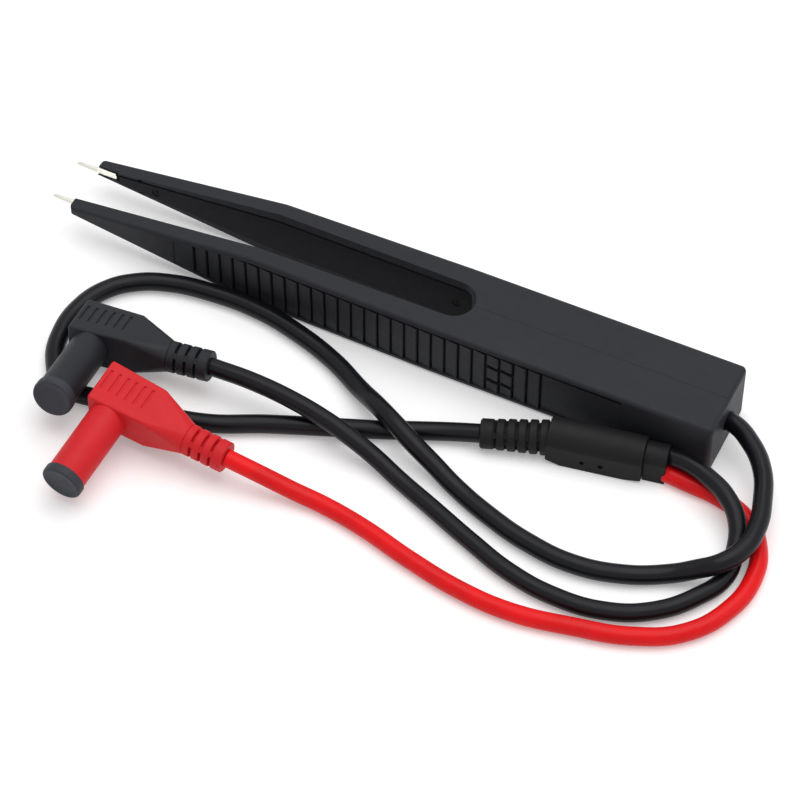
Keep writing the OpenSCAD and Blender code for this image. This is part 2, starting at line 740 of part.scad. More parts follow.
// End view of a block of a width and height: upright sides under a round vault, in Y and Z
module vault(w, h) {
    rise = min(block_vault_h, w / 2 - 2 * boot_lift);
    r = (w * w / 4 + rise * rise) / (2 * rise);
    intersection() {
        translate([-w / 2, 0]) square([w, h + past]);
        union() {
            translate([0, h - r]) circle(r);
            translate([-w, 0]) square([2 * w, h - rise]);
        }
    }
}

splice_y = 1.9;
boot_bevel = [3, 1];
collar_bevel = [3.5, 0.6];
splice_x = (block_l - splice_l) / 2;

// What a bevel, given as length and height, takes off the underside at X zero
module bevel_cut(bevel) {
    rotate([90, 0, 0]) translate([0, 0, -block_w]) linear_extrude(2 * block_w) polygon([
        [-past, -past], [bevel[0] + past, -past], [bevel[0], 0], [0, bevel[1]], [-past, bevel[1]]
    ]);
}

module junction_body() {
    color([0.1, 0.1, 0.1]) at_block() difference() {
        rotate([90, 0, 90]) linear_extrude(block_l) vault(block_w, block_side_h + block_vault_h);
        for (y = [-splice_y, splice_y])
            translate([splice_x - pin_clearance, y, axis_z]) rotate([0, 90, 0])
                cylinder(r = splice_d / 2 + pin_clearance, h = splice_l + 2 * pin_clearance);
        bevel_cut(boot_bevel);
        translate([block_l, 0, 0]) mirror([1, 0, 0]) bevel_cut(collar_bevel);
        for (i = [0, 1]) translate([hole_x + i * hole_pitch, -block_w / 2 - past, block_side_h / 2])
            rotate([-90, 0, 0]) cylinder(d = hole_d, h = past + hole_depth);
    }
}

module splice_sleeve(y) {
    color([0.75, 0.75, 0.77]) at_block() translate([splice_x, y, axis_z]) rotate([0, 90, 0])
        difference() {
            cylinder(d = splice_d, h = splice_l);
            translate([0, 0, -past]) cylinder(r = wire_r, h = splice_l + 2 * past);
        }
}
module splice_sleeve_black() { splice_sleeve(splice_y); }
module splice_sleeve_red() { splice_sleeve(-splice_y); }

module junction_collar() {
    color([0.1, 0.1, 0.1]) at_block() translate([block_l, 0, 0]) rotate([90, 0, 90])
        linear_extrude(collar_l) vault(collar_w, collar_h);
}

// The plugs, drawn with the pin along -Y and the lead along +X, then laid as they lie
plug_end_x = plug_l - plug_back + shoulder_l + relief_l;
body_front = -plug_w / 2;
x_shoulder = plug_l - plug_back;
x_relief = x_shoulder + shoulder_l;
plug_taper = 0.8;
shroud_root = 2.6;
pin_root = 4;
ring_pitch = (relief_l - ring_end_l) / (relief_rings - 1);
red_tilt = [4, 4.4, -2.8];
black_tilt = [-12, -3.4, 5.2];

// Places a plug so that its relief ends at the lead's last point
module lay_plug(route, tilt) {
    translate(route[len(route) - 1]) rotate(tilt) translate([-plug_end_x, lead_offset, 0]) children();
}

// The grip grooves start behind the plug's front edge, a little off its middle
grip_line_start = 2.2;
grip_line_y = 0.4;

module grip_line_cuts() {
    for (i = [0:grip_lines - 1], side = [-1, 1])
        translate([x_shoulder - grip_line_start - i * grip_line_pitch - grip_line_w,
                grip_line_y - grip_line_l / 2,
                side * (plug_h / 2) - grip_line_depth])
            cube([grip_line_w, grip_line_l, 2 * grip_line_depth]);
}

module relief() {
    translate([x_relief - slice, -lead_offset, 0]) rotate([0, 90, 0]) {
        cylinder(d = relief_neck_d, h = relief_l + slice);
        webs(relief_d, relief_l - ring_end_l);
        for (i = [0:relief_rings - 1]) translate([0, 0, i * ring_pitch + slice])
            cylinder(d = relief_d, h = i == relief_rings - 1 ? ring_end_l : ring_l);
    }
}

module plug_body(shade) {
    r = edge_r / 2;
    color(shade) difference() {
        union() {
            hull() {
                for (x = [r - plug_back, x_shoulder - r], y = [-1, 1], z = [-1, 1])
                    translate([x, y * (plug_w / 2 - r - (x > 0 && y > 0 ? plug_taper : 0)),
                            z * (plug_h / 2 - r)])
                        sphere(r, $fn = corner_fn / 2);
                translate([x_relief - slice, -lead_offset, 0]) rotate([0, 90, 0])
                    cylinder(d = shoulder_d, h = slice);
            }
            relief();
        }
        translate([0, body_front - past, 0]) rotate([-90, 0, 0])
            cylinder(r = shroud_d / 2 + pin_clearance, h = past + shroud_root + pin_clearance);
        translate([0, body_front, 0]) rotate([-90, 0, 0])
            cylinder(r = pin_shank_d / 2 + pin_clearance, h = shroud_root + pin_root + pin_clearance);
        grip_line_cuts();
    }
}

// The insulating tube: solid where the body grips it, open round the pin in front
module shroud(shade) {
    color(shade) translate([0, body_front, 0]) rotate([90, 0, 0]) difference() {
        translate([0, 0, -shroud_root]) cylinder(d = shroud_d, h = shroud_root + shroud_l);
        cylinder(d = shroud_bore, h = shroud_l + past);
        translate([0, 0, -shroud_root - past])
            cylinder(r = pin_shank_d / 2 + pin_clearance, h = shroud_root + 2 * past);
    }
}

// The springy pin with its crossed slits, on a shank that the body holds
module pin() {
    held = shroud_root + pin_root;
    nose = pin_d / 4;
    end = shroud_l - pin_inset;
    color([0.85, 0.8, 0.6]) translate([0, body_front, 0]) rotate([90, 0, 0]) difference() {
        union() {
            translate([0, 0, -held]) cylinder(d = pin_shank_d, h = held + pin_stand + slice);
            translate([0, 0, pin_stand]) cylinder(d = pin_d, h = end - nose - pin_stand);
            translate([0, 0, end - nose]) cylinder(d1 = pin_d, d2 = pin_d * 0.6, h = nose);
        }
        for (turn = [0, 90]) rotate([0, 0, turn])
            translate([-pin_d, -pin_slit_w / 2, end - pin_slit_l])
                cube([2 * pin_d, pin_slit_w, pin_slit_l + past]);
    }
}

// The cap: a cup over the shroud's mouth with a slightly domed end
module cap() {
    dome = cap_end_t / 3;
    color([0.22, 0.23, 0.26]) translate([0, body_front - shroud_l, 0]) rotate([90, 0, 0]) rotate_extrude()
        polygon([
            [0, cap_nose - dome - cap_end_t], [shroud_d / 2 - dome, cap_nose - dome - cap_end_t],
            [shroud_d / 2 - dome, 0], [shroud_d / 2 + pin_clearance, 0],
            [shroud_d / 2 + pin_clearance, -cap_overlap], [cap_d / 2, -cap_overlap],
            [cap_d / 2, cap_nose - 2 * dome], [cap_d / 2 - dome, cap_nose - dome],
            [0, cap_nose]
        ]);
}

black_shade = [0.12, 0.12, 0.12];
red_shade = [0.82, 0.18, 0.22];

module black_plug_body() { lay_plug(black_route, black_tilt) plug_body(black_shade); }
module red_plug_body() { lay_plug(red_route, red_tilt) plug_body(red_shade); }
module black_shroud() { lay_plug(black_route, black_tilt) shroud(black_shade); }
module red_shroud() { lay_plug(red_route, red_tilt) shroud(red_shade); }
module black_pin() { lay_plug(black_route, black_tilt) pin(); }
module red_pin() { lay_plug(red_route, red_tilt) pin(); }
module black_cap() { lay_plug(black_route, black_tilt) cap(); }
module red_cap() { lay_plug(red_route, red_tilt) cap(); }

tail_near();
tail_far();
arm_near();
arm_far();
inner_cover_near();
inner_cover_far();
contact_near();
contact_far();
arm_wire_near();
arm_wire_far();
tail_wire_near();
tail_wire_far();
cord_clamp();
junction_body();
junction_boot();
junction_collar();
splice_sleeve_black();
splice_sleeve_red();
duplex_cord();
black_lead();
red_lead();
black_plug_body();
red_plug_body();
black_shroud();
red_shroud();
black_pin();
red_pin();
black_cap();
red_cap();
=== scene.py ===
"""Test tweezers for small surface-mount parts, dressed and laid in a pale studio.

X runs from the needle tips to the cord outlet, Y across the arms and Z up from the table.
Sizes in the panel are in metres; sizes and routes in the code are in millimetres.
"""
import math
from types import SimpleNamespace

import bpy
from mathutils import Euler, Matrix, Vector


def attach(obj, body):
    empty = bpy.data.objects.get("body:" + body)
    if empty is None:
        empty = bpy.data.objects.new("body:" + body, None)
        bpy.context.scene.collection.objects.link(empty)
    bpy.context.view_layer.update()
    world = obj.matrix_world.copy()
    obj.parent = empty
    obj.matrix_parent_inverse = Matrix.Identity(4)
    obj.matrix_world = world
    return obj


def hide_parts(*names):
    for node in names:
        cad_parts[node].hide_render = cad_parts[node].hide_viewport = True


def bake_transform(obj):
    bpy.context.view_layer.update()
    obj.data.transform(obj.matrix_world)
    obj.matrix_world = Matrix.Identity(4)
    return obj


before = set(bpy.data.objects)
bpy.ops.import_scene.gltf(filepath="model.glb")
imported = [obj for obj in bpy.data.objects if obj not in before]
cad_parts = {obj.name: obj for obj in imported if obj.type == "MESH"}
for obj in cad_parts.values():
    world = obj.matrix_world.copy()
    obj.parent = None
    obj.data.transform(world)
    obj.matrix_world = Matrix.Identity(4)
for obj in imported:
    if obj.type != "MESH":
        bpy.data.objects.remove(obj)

bl_info = {
    "name": "Test tweezers",
    "version": (1, 0, 0),
    "blender": (4, 5, 0),
    "location": "3D View > Sidebar > Tweezers",
    "description": "Builds test tweezers with their cord, junction, leads and plugs",
    "category": "Object",
}

MM = 0.001

# Routes of the cord and the leads, each from its exit to its far end
CORD_ROUTE = [
    (64, 0, 6.9), (76, 0, 6.9), (81, -3, 6.9), (85.5, -8, 6.7), (88.5, -15, 6.5),
    (90, -21.5, 6.4), (89.5, -27.5, 6.3), (87, -31.8, 5.8), (82.5, -34.2, 3.8), (78, -36.2, 2.2),
    (70, -40, 2), (60, -42, 2), (50, -41, 2), (41, -38.5, 2), (32, -35, 2.1),
    (26, -32.6, 3.4), (21, -31, 5.1), (15.5, -28.5, 6), (10.5, -25.5, 5.2), (4.5, -21.5, 3),
    (-4, -16.5, 2), (-14, -13, 2), (-24, -11, 2), (-35, -11, 2), (-44, -12.5, 2),
    (-50.5, -15.5, 2), (-55, -20, 2), (-57.5, -26.5, 2), (-57.5, -34, 2), (-55, -41, 2),
    (-50, -46, 2), (-43, -46, 2), (-32, -44.5, 2), (-20, -42, 2), (-9, -37, 2),
    (2, -32.5, 2), (12, -28.5, 2), (21, -24.5, 2), (26, -22.7, 2.4), (31, -21.3, 3.1),
]
BLACK_ROUTE = [
    (67.7, -11.7, 5.1), (72, -12.3, 5.7), (77, -14, 5.8), (81.5, -16.5, 5.7),
    (85.5, -20.5, 4.6), (87.5, -26, 2.6), (88, -32, 1.9), (85, -38.5, 1.9),
    (78.5, -45.5, 1.9), (70, -49.5, 1.9), (60, -50.5, 1.9), (50, -49, 1.9),
    (40, -45.5, 1.9), (30, -41.5, 1.9), (21, -38, 2), (15, -36, 3.2), (9.5, -35, 5),
    (3, -33.7, 6), (-5, -32.5, 6.6), (-14.5, -32, 7.1), (-23.6, -32.2, 7.1),
]
RED_ROUTE = [
    (67.7, -13.6, 1.9), (72, -14, 1.9), (80, -14.8, 1.9), (86.5, -17.3, 1.9),
    (91, -22.5, 1.9), (93, -30, 1.9), (91.5, -39, 1.9), (86, -47.5, 1.9),
    (77.5, -52.5, 1.9), (66, -55.5, 1.9), (54, -57.5, 1.9), (43, -57, 1.9),
    (31, -54.6, 1.9), (20, -51.7, 1.9), (11, -50.2, 2), (4, -50.2, 2.9),
    (-3, -50.8, 5), (-10.3, -50.9, 6.3),
]

# How each plug leans as it lies, in degrees about X, Y and Z
BLACK_TILT = (-12, -3.4, 5.2)
RED_TILT = (4, 4.4, -2.8)

# The junction: the boot's and the block's turn about Z, and the height of the wires' axis
BOOT_TURN = 19
BLOCK_TURN = 10
BLOCK_AXIS_Z = 3.7
BLOCK_LIFT = 0.05

# The cover strips: from the plastic tips to their front, from the pivot to their back, their
# height at the tips, the rim above and below them, how deep their face and floor lie behind
# the slot's side, and their clearance
COVER_START = 5.3
COVER_END = 4.6
COVER_TIP_H = 2.1
COVER_RIM = 2.3
COVER_SINK = -0.18
COVER_FLOOR = COVER_SINK + 1.0
COVER_GAP = 0.16

# The share of a tip's half height that the long edges' rounding takes
TIP_EDGE_SHARE = 0.6

# How far the grip's grooves reach below its ribs
GROOVE_FOOT = 0.15

# The camera, fitted to the photograph: its place in millimetres, its view and its focal length
CAMERA_PLACE = (198.788, -405.888, 531.762)
CAMERA_WAY = (-0.27336, 0.56655, -0.77737)
CAMERA_LENS = 152.694

# How far a cutting shape reaches past what it cuts, and how far two of them overlap
PAST = 1.0
LAP = 0.1

# How near to a place a point is taken to be on it, roughly and closely
NEAR = 0.1
HAIR = 0.01

# The kinds of a mesh's parts, in the order of Blender's select modes
POINTS, EDGES, FACES = range(3)

# The numbers of a colour mix node's two colour inputs and of its colour output
MIX_A, MIX_B, MIX_RESULT = 6, 7, 2


def length(label, default, description):
    """A size property in metres."""
    return bpy.props.FloatProperty(
        name=label, default=default, min=0.0, precision=5, unit="LENGTH",
        description=description,
    )


def count(label, default, description):
    """A whole-number property."""
    return bpy.props.IntProperty(name=label, default=default, min=1, description=description)


def colour(label, default, description):
    """A colour property, linear."""
    return bpy.props.FloatVectorProperty(
        name=label, default=default, size=3, min=0.0, max=1.0, subtype="COLOR",
        description=description,
    )


class TweezersBody(bpy.types.PropertyGroup):
    """Sizes of the plastic body and its arms."""

    length: length("Body length", 0.145, "Plastic body without the needles")
    width: length("Body width", 0.0188, "Across both halves at the tail")
    height: length("Body height", 0.0138, "Behind the knee")
    edge: length("Edge rounding", 0.001, "Radius of the long outer edges")
    corner: length("Corner rounding", 0.0012, "Radius of the tail's upright outer corners")
    soft_edge: length("Small edge rounding", 0.00008, "Width of the softened small edges")
    wall: length("Wall", 0.0018, "Wall of the hollow tail")
    end_wall: length("End wall", 0.0024, "Wall where the cord leaves")
    arm_length: length("Arm length", 0.0849, "From the plastic tips to the slot's round end")
    slot_width: length("Slot width", 0.0092, "Width of the slot at its round end")
    knee: length("Knee", 0.043, "From the plastic tips to where the arms start to thin")
    knee_width: length("Knee width", 0.0173, "Across the arms at the knee")
    knee_gap: length("Knee gap", 0.00996, "Width of the slot at the knee")
    tip_width: length("Tip width", 0.0153, "Across the arms at the plastic tips")
    tip_gap: length("Tip gap", 0.0093, "Width of the slot at the plastic tips")
    tip_height: length("Tip height", 0.0019, "Height of the plastic tips")
    tip_rounding: length("Tip rounding", 0.0012, "Radius of the tips' upright outer corners")


class TweezersGrip(bpy.types.PropertyGroup):
    """Sizes of the ribbed grip on each side."""

    start: length("Recess start", 0.025, "From the plastic tips to the recess")
    length: length("Recess length", 0.1008, "Length of the recess")
    depth: length("Recess depth", 0.00035, "Depth of the recess")
    low: length("Recess bottom", 0.0014, "Height of the recess above the underside")
    height: length("Recess height", 0.01065, "Height of the ribs inside the recess")
    band: length("Band", 0.00065, "Height of the sunk band above the ribs")
    first: length("First groove", 0.0299, "From the plastic tips to the first groove")
    pitch: length("Groove spacing", 0.00302, "From one groove to the next")
    grooves: count("Grooves", 27, "Number of grooves on each side")
    groove_width: length("Groove width", 0.0005, "Width of each groove")
    groove_depth: length("Groove depth", 0.0009, "Depth of each groove below the side")
    lip: length("Groove lip", 0.00012, "Chamfer along the rim of each groove")


class TweezersCords(bpy.types.PropertyGroup):
    """Sizes of the cord, the leads and the junction."""

    cord: length("Cord diameter", 0.0039, "Two-core cord")
    cord_length: length("Cord length", 0.324, "From inside the tail to the junction")
    lead: length("Lead diameter", 0.0037, "Black and red leads")
    black_length: length("Black lead length", 0.157, "From the junction to its plug")
    red_length: length("Red lead length", 0.153, "From the junction to its plug")
    boot_length: length("Boot length", 0.0137, "Ribbed boot of the junction")
    boot_rings: count("Boot rings", 5, "Rings that follow the boot's collar")
    block_length: length("Block length", 0.0195, "Junction block")
    block_width: length("Block width", 0.0076, "Junction block")
    block_side: length("Block side", 0.0052, "Height of the block's upright sides")
    block_vault: length("Block vault", 0.0032, "Rise of the block's vaulted top")
    collar_length: length("End collar length", 0.0046, "Narrower end of the junction")
    collar_width: length("End collar width", 0.0058, "Narrower end of the junction")
    collar_side: length("End collar side", 0.0039, "Height of the collar's upright sides")
    collar_vault: length("End collar vault", 0.0037, "Rise of the collar's vaulted top")


class TweezersPlugs(bpy.types.PropertyGroup):
    """Sizes of the two right-angle plugs."""

    length: length("Plug length", 0.0133, "Plug body along the lead")
    width: length("Plug width", 0.0101, "Plug body along the pin")
    height: length("Plug thickness", 0.0086, "Plug body")
    back: length("Closed end", 0.0048, "From the pin's axis to the closed end")
    shoulder: length("Shoulder", 0.0077, "Part that narrows to the strain relief")
    shoulder_end: length("Shoulder end", 0.0064, "Diameter where the shoulder meets the relief")
    lead_offset: length("Lead offset", 0.0013, "From the body's middle to the lead's axis")
    relief: length("Relief length", 0.0088, "Slotted strain relief")
    rings: count("Relief rings", 4, "Rings of the strain relief")
    ring: length("Ring length", 0.0016, "Length of each ring")
    ring_end: length("Last ring length", 0.0022, "Length of the ring round the lead's exit")
    ring_diameter: length("Ring diameter", 0.0064, "Diameter of the rings")
    neck: length("Neck diameter", 0.0046, "Diameter between the rings")
    lines: count("Grip lines", 6, "Grooves on each flat face")
    line_pitch: length("Grip line spacing", 0.0019, "From one grip line to the next")
    line_width: length("Grip line width", 0.0005, "Width of a grip line")
    line_length: length("Grip line length", 0.0046, "Length of a grip line")
    line_depth: length("Grip line depth", 0.0003, "Depth of a grip line")
    shroud: length("Shroud diameter", 0.008, "Outside of the insulating tube")
    bore: length("Shroud bore", 0.0066, "Inside of the insulating tube")
    shroud_length: length("Shroud length", 0.0164, "From the plug body to the mouth")
    shroud_root: length("Shroud root", 0.0026, "Part of the shroud inside the body")
    cap: length("Cap diameter", 0.0086, "Pull-off cap")
    cap_nose: length("Cap nose", 0.0013, "Cap in front of the mouth")
    cap_overlap: length("Cap overlap", 0.0006, "Cap over the shroud")
    cap_end: length("Cap end", 0.0009, "Thickness of the cap's end")


class TweezersColours(bpy.types.PropertyGroup):
    """Base colours of the finishes."""

    body: colour("Body", (0.0192, 0.0200, 0.0244), "Moulded halves")
    cover: colour("Covers", (0.007, 0.0073, 0.0108), "Strips inside the arms")
    metal: colour("Contacts", (0.83, 0.81, 0.73), "Plated needles and blades")
    cord: colour("Cord", (0.0058, 0.006, 0.0082), "Two-core cord and black lead")
    red: colour("Red lead", (0.82, 0.008, 0.011), "Red lead")
    black_plug: colour("Black plug", (0.018, 0.019, 0.023), "Black plug and shroud")
    red_plug: colour("Red plug", (0.66, 0.018, 0.024), "Red plug and shroud")
    junction: colour("Junction", (0.011, 0.011, 0.012), "Junction block and boot")
    cap: colour("Caps", (0.041, 0.043, 0.053), "Pull-off caps")


# Tools that select and shape


def millimetres(group):
    """The sizes of a property group in millimetres, and its counts as they are."""
    values = {}
    for key in group.bl_rna.properties.keys():
        value = getattr(group, key)
        if isinstance(value, float):
            values[key] = value / MM
        elif isinstance(value, int):
            values[key] = value
    return SimpleNamespace(**values)


def shift(x=0, y=0, z=0):
    """A shift in millimetres."""
    return Matrix.Translation(Vector((x, y, z)) * MM)


def rotation(degrees, axis):
    """A turn about an axis."""
    return Matrix.Rotation(math.radians(degrees), 4, axis)


def deselect():
    """Deselects every object."""
    bpy.ops.object.select_all(action="DESELECT")


def only(obj):
    """Selects one object alone."""
    deselect()
    obj.select_set(True)
    bpy.context.view_layer.objects.active = obj


def apply_place():
    """Puts the active object's place into its mesh."""
    bpy.ops.object.transform_apply(location=True, rotation=True, scale=True)


def settle(name):
    """Names the active object and puts its place into its mesh."""
    obj = bpy.context.active_object
    obj.name = obj.data.name = name
    apply_place()
    return obj


def lay(obj, matrix):
    """Moves a shape to where it lies, with its place in its mesh."""
    only(obj)
    obj.matrix_world = matrix
    apply_place()
    return obj


def add_object(name, data):
    """A new object in the scene for a mesh, a curve, a lamp or a camera."""
    obj = bpy.data.objects.new(name, data)
    bpy.context.scene.collection.objects.link(obj)
    return obj


def duplicate(obj, name):
    """A copy of a shape, with its own mesh."""
    copy = add_object(name, obj.data.copy())
    copy.data.name = name
    return copy


def box(name, low, high):
    """A box between two corners."""
    deselect()
    bpy.ops.mesh.primitive_cube_add(
        size=1,
        location=[(a + b) / 2 * MM for a, b in zip(low, high)],
        scale=[(b - a) * MM for a, b in zip(low, high)],
    )
    return settle(name)


def rod(name, start, end, radius, sides=32):
    """A rod from one point to another."""
    a, b = Vector(start) * MM, Vector(end) * MM
    deselect()
    bpy.ops.mesh.primitive_cylinder_add(
        vertices=sides, radius=radius * MM, depth=(b - a).length, location=(a + b) / 2,
        rotation=(b - a).to_track_quat("Z", "Y").to_euler(),
    )
    return settle(name)


def disc(name, radius, location, turn=(0, 0, 0), sides=48):
    """A flat disc, which faces along Z before its turn."""
    deselect()
    bpy.ops.mesh.primitive_circle_add(
        vertices=sides, radius=radius * MM, fill_type="NGON",
        location=[c * MM for c in location], rotation=turn,
    )
    return settle(name)


def turned(name, rings, sides=48):
    """A shape turned about Z: a disc drawn out through (height, radius) steps."""
    z, r = rings[0]
    obj = disc(name, r, (0, 0, z), sides=sides)
    edit_all(obj)
    for next_z, next_r in rings[1:]:
        draw_out(z=next_z - z)
        resize(next_r / r, next_r / r)
        z, r = next_z, next_r
    finish_edit()
    face_outwards(obj)
    return obj


def edit_all(obj):
    """Opens a mesh for editing with all of it selected."""
    only(obj)
    bpy.ops.object.mode_set(mode="EDIT")
    bpy.ops.mesh.select_all(action="SELECT")


def finish_edit():
    """Closes the mesh that is being edited."""
    bpy.ops.object.mode_set(mode="OBJECT")


def draw_out(x=0, y=0, z=0):
    """Extrudes the selected faces by a step in millimetres."""
    bpy.ops.mesh.extrude_region_move(TRANSFORM_OT_translate={"value": (x * MM, y * MM, z * MM)})


def move(x=0, y=0, z=0):
    """Moves the selection by a step in millimetres."""
    bpy.ops.transform.translate(value=(x * MM, y * MM, z * MM))


def resize(x=1, y=1, z=1, about=(0, 0, 0)):
    """Scales the selection about a point in millimetres."""
    bpy.ops.transform.resize(value=(x, y, z), center_override=[c * MM for c in about])


def face_outwards(obj):
    """Merges doubled points and turns every face outwards."""
    edit_all(obj)
    bpy.ops.mesh.remove_doubles(threshold=1e-6)
    bpy.ops.mesh.normals_make_consistent(inside=False)
    finish_edit()


def merge_flats(obj, touch=0.02, sliver=0.005, flat=0.1):
    """Merges points that all but touch, thin slivers and flat faces that share an edge."""
    edit_all(obj)
    bpy.ops.mesh.remove_doubles(threshold=touch * MM)
    bpy.ops.mesh.dissolve_degenerate(threshold=sliver * MM)
    bpy.ops.mesh.dissolve_limited(angle_limit=math.radians(flat))
    finish_edit()


def pick(obj, kind, test):
    """Opens a mesh for editing with the parts of one kind selected that pass a test."""
    only(obj)
    parts = (obj.data.vertices, obj.data.edges, obj.data.polygons)
    for part in parts:
        part.foreach_set("select", [False] * len(part))
    for item in parts[kind]:
        if test(item):
            item.select = True
            if kind != POINTS:
                for i in item.vertices:
                    obj.data.vertices[i].select = True
    bpy.context.tool_settings.mesh_select_mode = [i == kind for i in range(len(parts))]
    bpy.ops.object.mode_set(mode="EDIT")


def pick_points(obj, test):
    """Picks the points that pass a test."""
    pick(obj, POINTS, lambda point: test(point.co / MM))


def pick_edges(obj, test):
    """Picks the edges whose two ends pass a test."""
    points = [v.co / MM for v in obj.data.vertices]
    pick(obj, EDGES, lambda edge: test(*[points[i] for i in edge.vertices]))


def pick_faces(obj, direction):
    """Picks the furthest faces in a direction."""
    way = Vector(direction)
    far = max(v.co.dot(way) for v in obj.data.vertices)
    pick(obj, FACES, lambda face: face.normal.dot(way) > 0.9
         and abs(face.center.dot(way) - far) < HAIR * MM)


def round_edges(obj, radius, segments, test):
    """Rounds the edges whose two ends pass a test."""
    pick_edges(obj, test)
    bpy.ops.mesh.bevel(offset=radius * MM, segments=segments, affect="EDGES", clamp_overlap=False)
    finish_edit()


def modify(obj, kind, **settings):
    """Gives an object a modifier and applies it."""
    only(obj)
    bpy.ops.object.modifier_add(type=kind)
    modifier = obj.modifiers[-1]
    for key, value in settings.items():
        setattr(modifier, key, value)
    bpy.ops.object.modifier_apply(modifier=modifier.name)


def soften(obj, width, segments=2, angle=32):
    """Softens every sharp edge by a small width."""
    modify(obj, "BEVEL", width=width * MM, segments=segments, limit_method="ANGLE",
           angle_limit=math.radians(angle), use_clamp_overlap=False)


def combine(obj, other, how="DIFFERENCE"):
    """Cuts one solid with another, which is used up."""
    modify(obj, "BOOLEAN", object=other, operation=how, solver="EXACT")
    bpy.data.objects.remove(other)
    merge_flats(obj)
    return obj


def unite(obj, other):
    """Unites two solids in the first."""
    return combine(obj, other, "UNION")


def join(objects):
    """Joins shapes that don't touch into the first of them."""
    deselect()
    for obj in objects:
        obj.select_set(True)
    bpy.context.view_layer.objects.active = objects[0]
    bpy.ops.object.join()
    return objects[0]


def copies(shape, places):
    """Copies of a cutting shape at several places, joined in one."""
    made = [lay(duplicate(shape, shape.name), shift(*place)) for place in places]
    bpy.data.objects.remove(shape)
    return join(made)


def mirrored(obj, name):
    """The near side's copy of a far piece, with its own mesh."""
    copy = duplicate(obj, name)
    only(copy)
    copy.scale = (1, -1, 1)
    apply_place()
    face_outwards(copy)
    return copy


def dress(obj, key):
    """Gives an object one finish."""
    obj.data.materials.clear()
    obj.data.materials.append(finish(key))


def hand_over(obj, key, slot, body, *nodes):
    """Gives a piece its finish, the nodes that it stands for and its body; its slot is not used."""
    only(obj)
    bpy.ops.object.shade_smooth_by_angle(angle=math.radians(30))
    modify(obj, "WEIGHTED_NORMAL", keep_sharp=True)
    dress(obj, key)
    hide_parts(*nodes)
    if body:
        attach(obj, body)


def hand_over_pair(far, key, slot, node):
    """Mirrors an arm's far piece to the near side and hands both over."""
    near = mirrored(far, far.name.replace("far", "near"))
    for obj, side in ((far, "far"), (near, "near")):
        hand_over(obj, key, slot, f"{side}_arm", f"{node}_{side}")


def between(x, table):
    """The value at x on a line through (x, value) points."""
    if x <= table[0][0]:
        return table[0][1]
    for (x0, v0), (x1, v1) in zip(table, table[1:]):
        if x <= x1:
            return v0 + (v1 - v0) * (x - x0) / (x1 - x0)
    return table[-1][1]


class BodyPlan:
    """Places along the tweezers, and half sizes at each, in millimetres."""

    # The needles' free length, and from the arms' pivot to the slot's round end
    NEEDLE = 5.0
    ROOT = 2.5

    def __init__(self):
        scene = bpy.context.scene
        b = self.body = millimetres(scene.tweezers_body)
        self.grip = millimetres(scene.tweezers_grip)
        self.end = (b.length + self.NEEDLE) / 2
        self.tip = self.end - b.length
        self.knee = self.tip + b.knee
        self.slot = self.tip + b.arm_length
        self.pivot = self.slot - self.ROOT
        self.cavity = self.slot + b.slot_width / 2 + b.wall
        self.mid = b.height / 2
        self.root_y = (b.width + b.slot_width) / 4
        self.grip_start = self.tip + self.grip.start
        self.grip_end = self.grip_start + self.grip.length

    def half(self, x, tip, knee, slot):
        """Half of a width at x that is given at the tip, the knee and the slot's end."""
        return between(x, [(self.tip, tip / 2), (self.knee, knee / 2), (self.slot, slot / 2)])

    def outer(self, x):
        """Half-width outside."""
        return self.half(x, self.body.tip_width, self.body.knee_width, self.body.width)

    def inner(self, x):
        """Half-width of the slot."""
        return self.half(x, self.body.tip_gap, self.body.knee_gap, self.body.slot_width)


# Materials


def nodes_of(name):
    """A new material with its nodes, its surface shader and its object coordinates."""
    material = bpy.data.materials.new(name)
    material.use_nodes = True
    tree = material.node_tree
    place = tree.nodes.new("ShaderNodeTexCoord")
    return material, tree, tree.nodes["Principled BSDF"], place.outputs["Object"]


def add_node(tree, kind, values, links):
    """Adds a node, with values for some inputs and links to others."""
    node = tree.nodes.new(kind)
    for key, value in values.items():
        node.inputs[key].default_value = value
    for key, socket in links.items():
        tree.links.new(socket, node.inputs[key])
    return node


def noise(tree, place, size, detail=3.0, stretch=(1, 1, 1)):
    """Noise with features of a given size in millimetres."""
    mapping = add_node(tree, "ShaderNodeMapping", {"Scale": stretch}, {"Vector": place})
    texture = add_node(
        tree, "ShaderNodeTexNoise", {"Scale": 1 / (size * MM), "Detail": detail},
        {"Vector": mapping.outputs["Vector"]},
    )
    return texture.outputs["Fac"]


def spread(tree, value, low, high):
    """Stretches a noise's middle range to run from low to high."""
    node = add_node(
        tree, "ShaderNodeMapRange",
        {"From Min": 0.3, "From Max": 0.7, "To Min": low, "To Max": high}, {"Value": value},
    )
    return node.outputs["Result"]


def mottle(tree, shader, value, base, change):
    """Varies a base colour by a share either way."""
    mix = tree.nodes.new("ShaderNodeMix")
    mix.data_type = "RGBA"
    tree.links.new(value, mix.inputs["Factor"])
    mix.inputs[MIX_A].default_value = (*[c * (1 - change) for c in base], 1)
    mix.inputs[MIX_B].default_value = (*[min(c * (1 + change), 1) for c in base], 1)
    tree.links.new(mix.outputs[MIX_RESULT], shader.inputs["Base Color"])


def vary_gloss(tree, shader, value, low, high):
    """Varies the roughness between two values."""
    tree.links.new(spread(tree, value, low, high), shader.inputs["Roughness"])


def relief(tree, shader, heights):
    """Adds bumps, given as (noise, height in millimetres) pairs."""
    below = {}
    for value, height in heights:
        bump = add_node(tree, "ShaderNodeBump", {"Strength": 1.0, "Distance": height * MM},
                        {"Height": value, **below})
        below = {"Normal": bump.outputs["Normal"]}
    tree.links.new(below["Normal"], shader.inputs["Normal"])


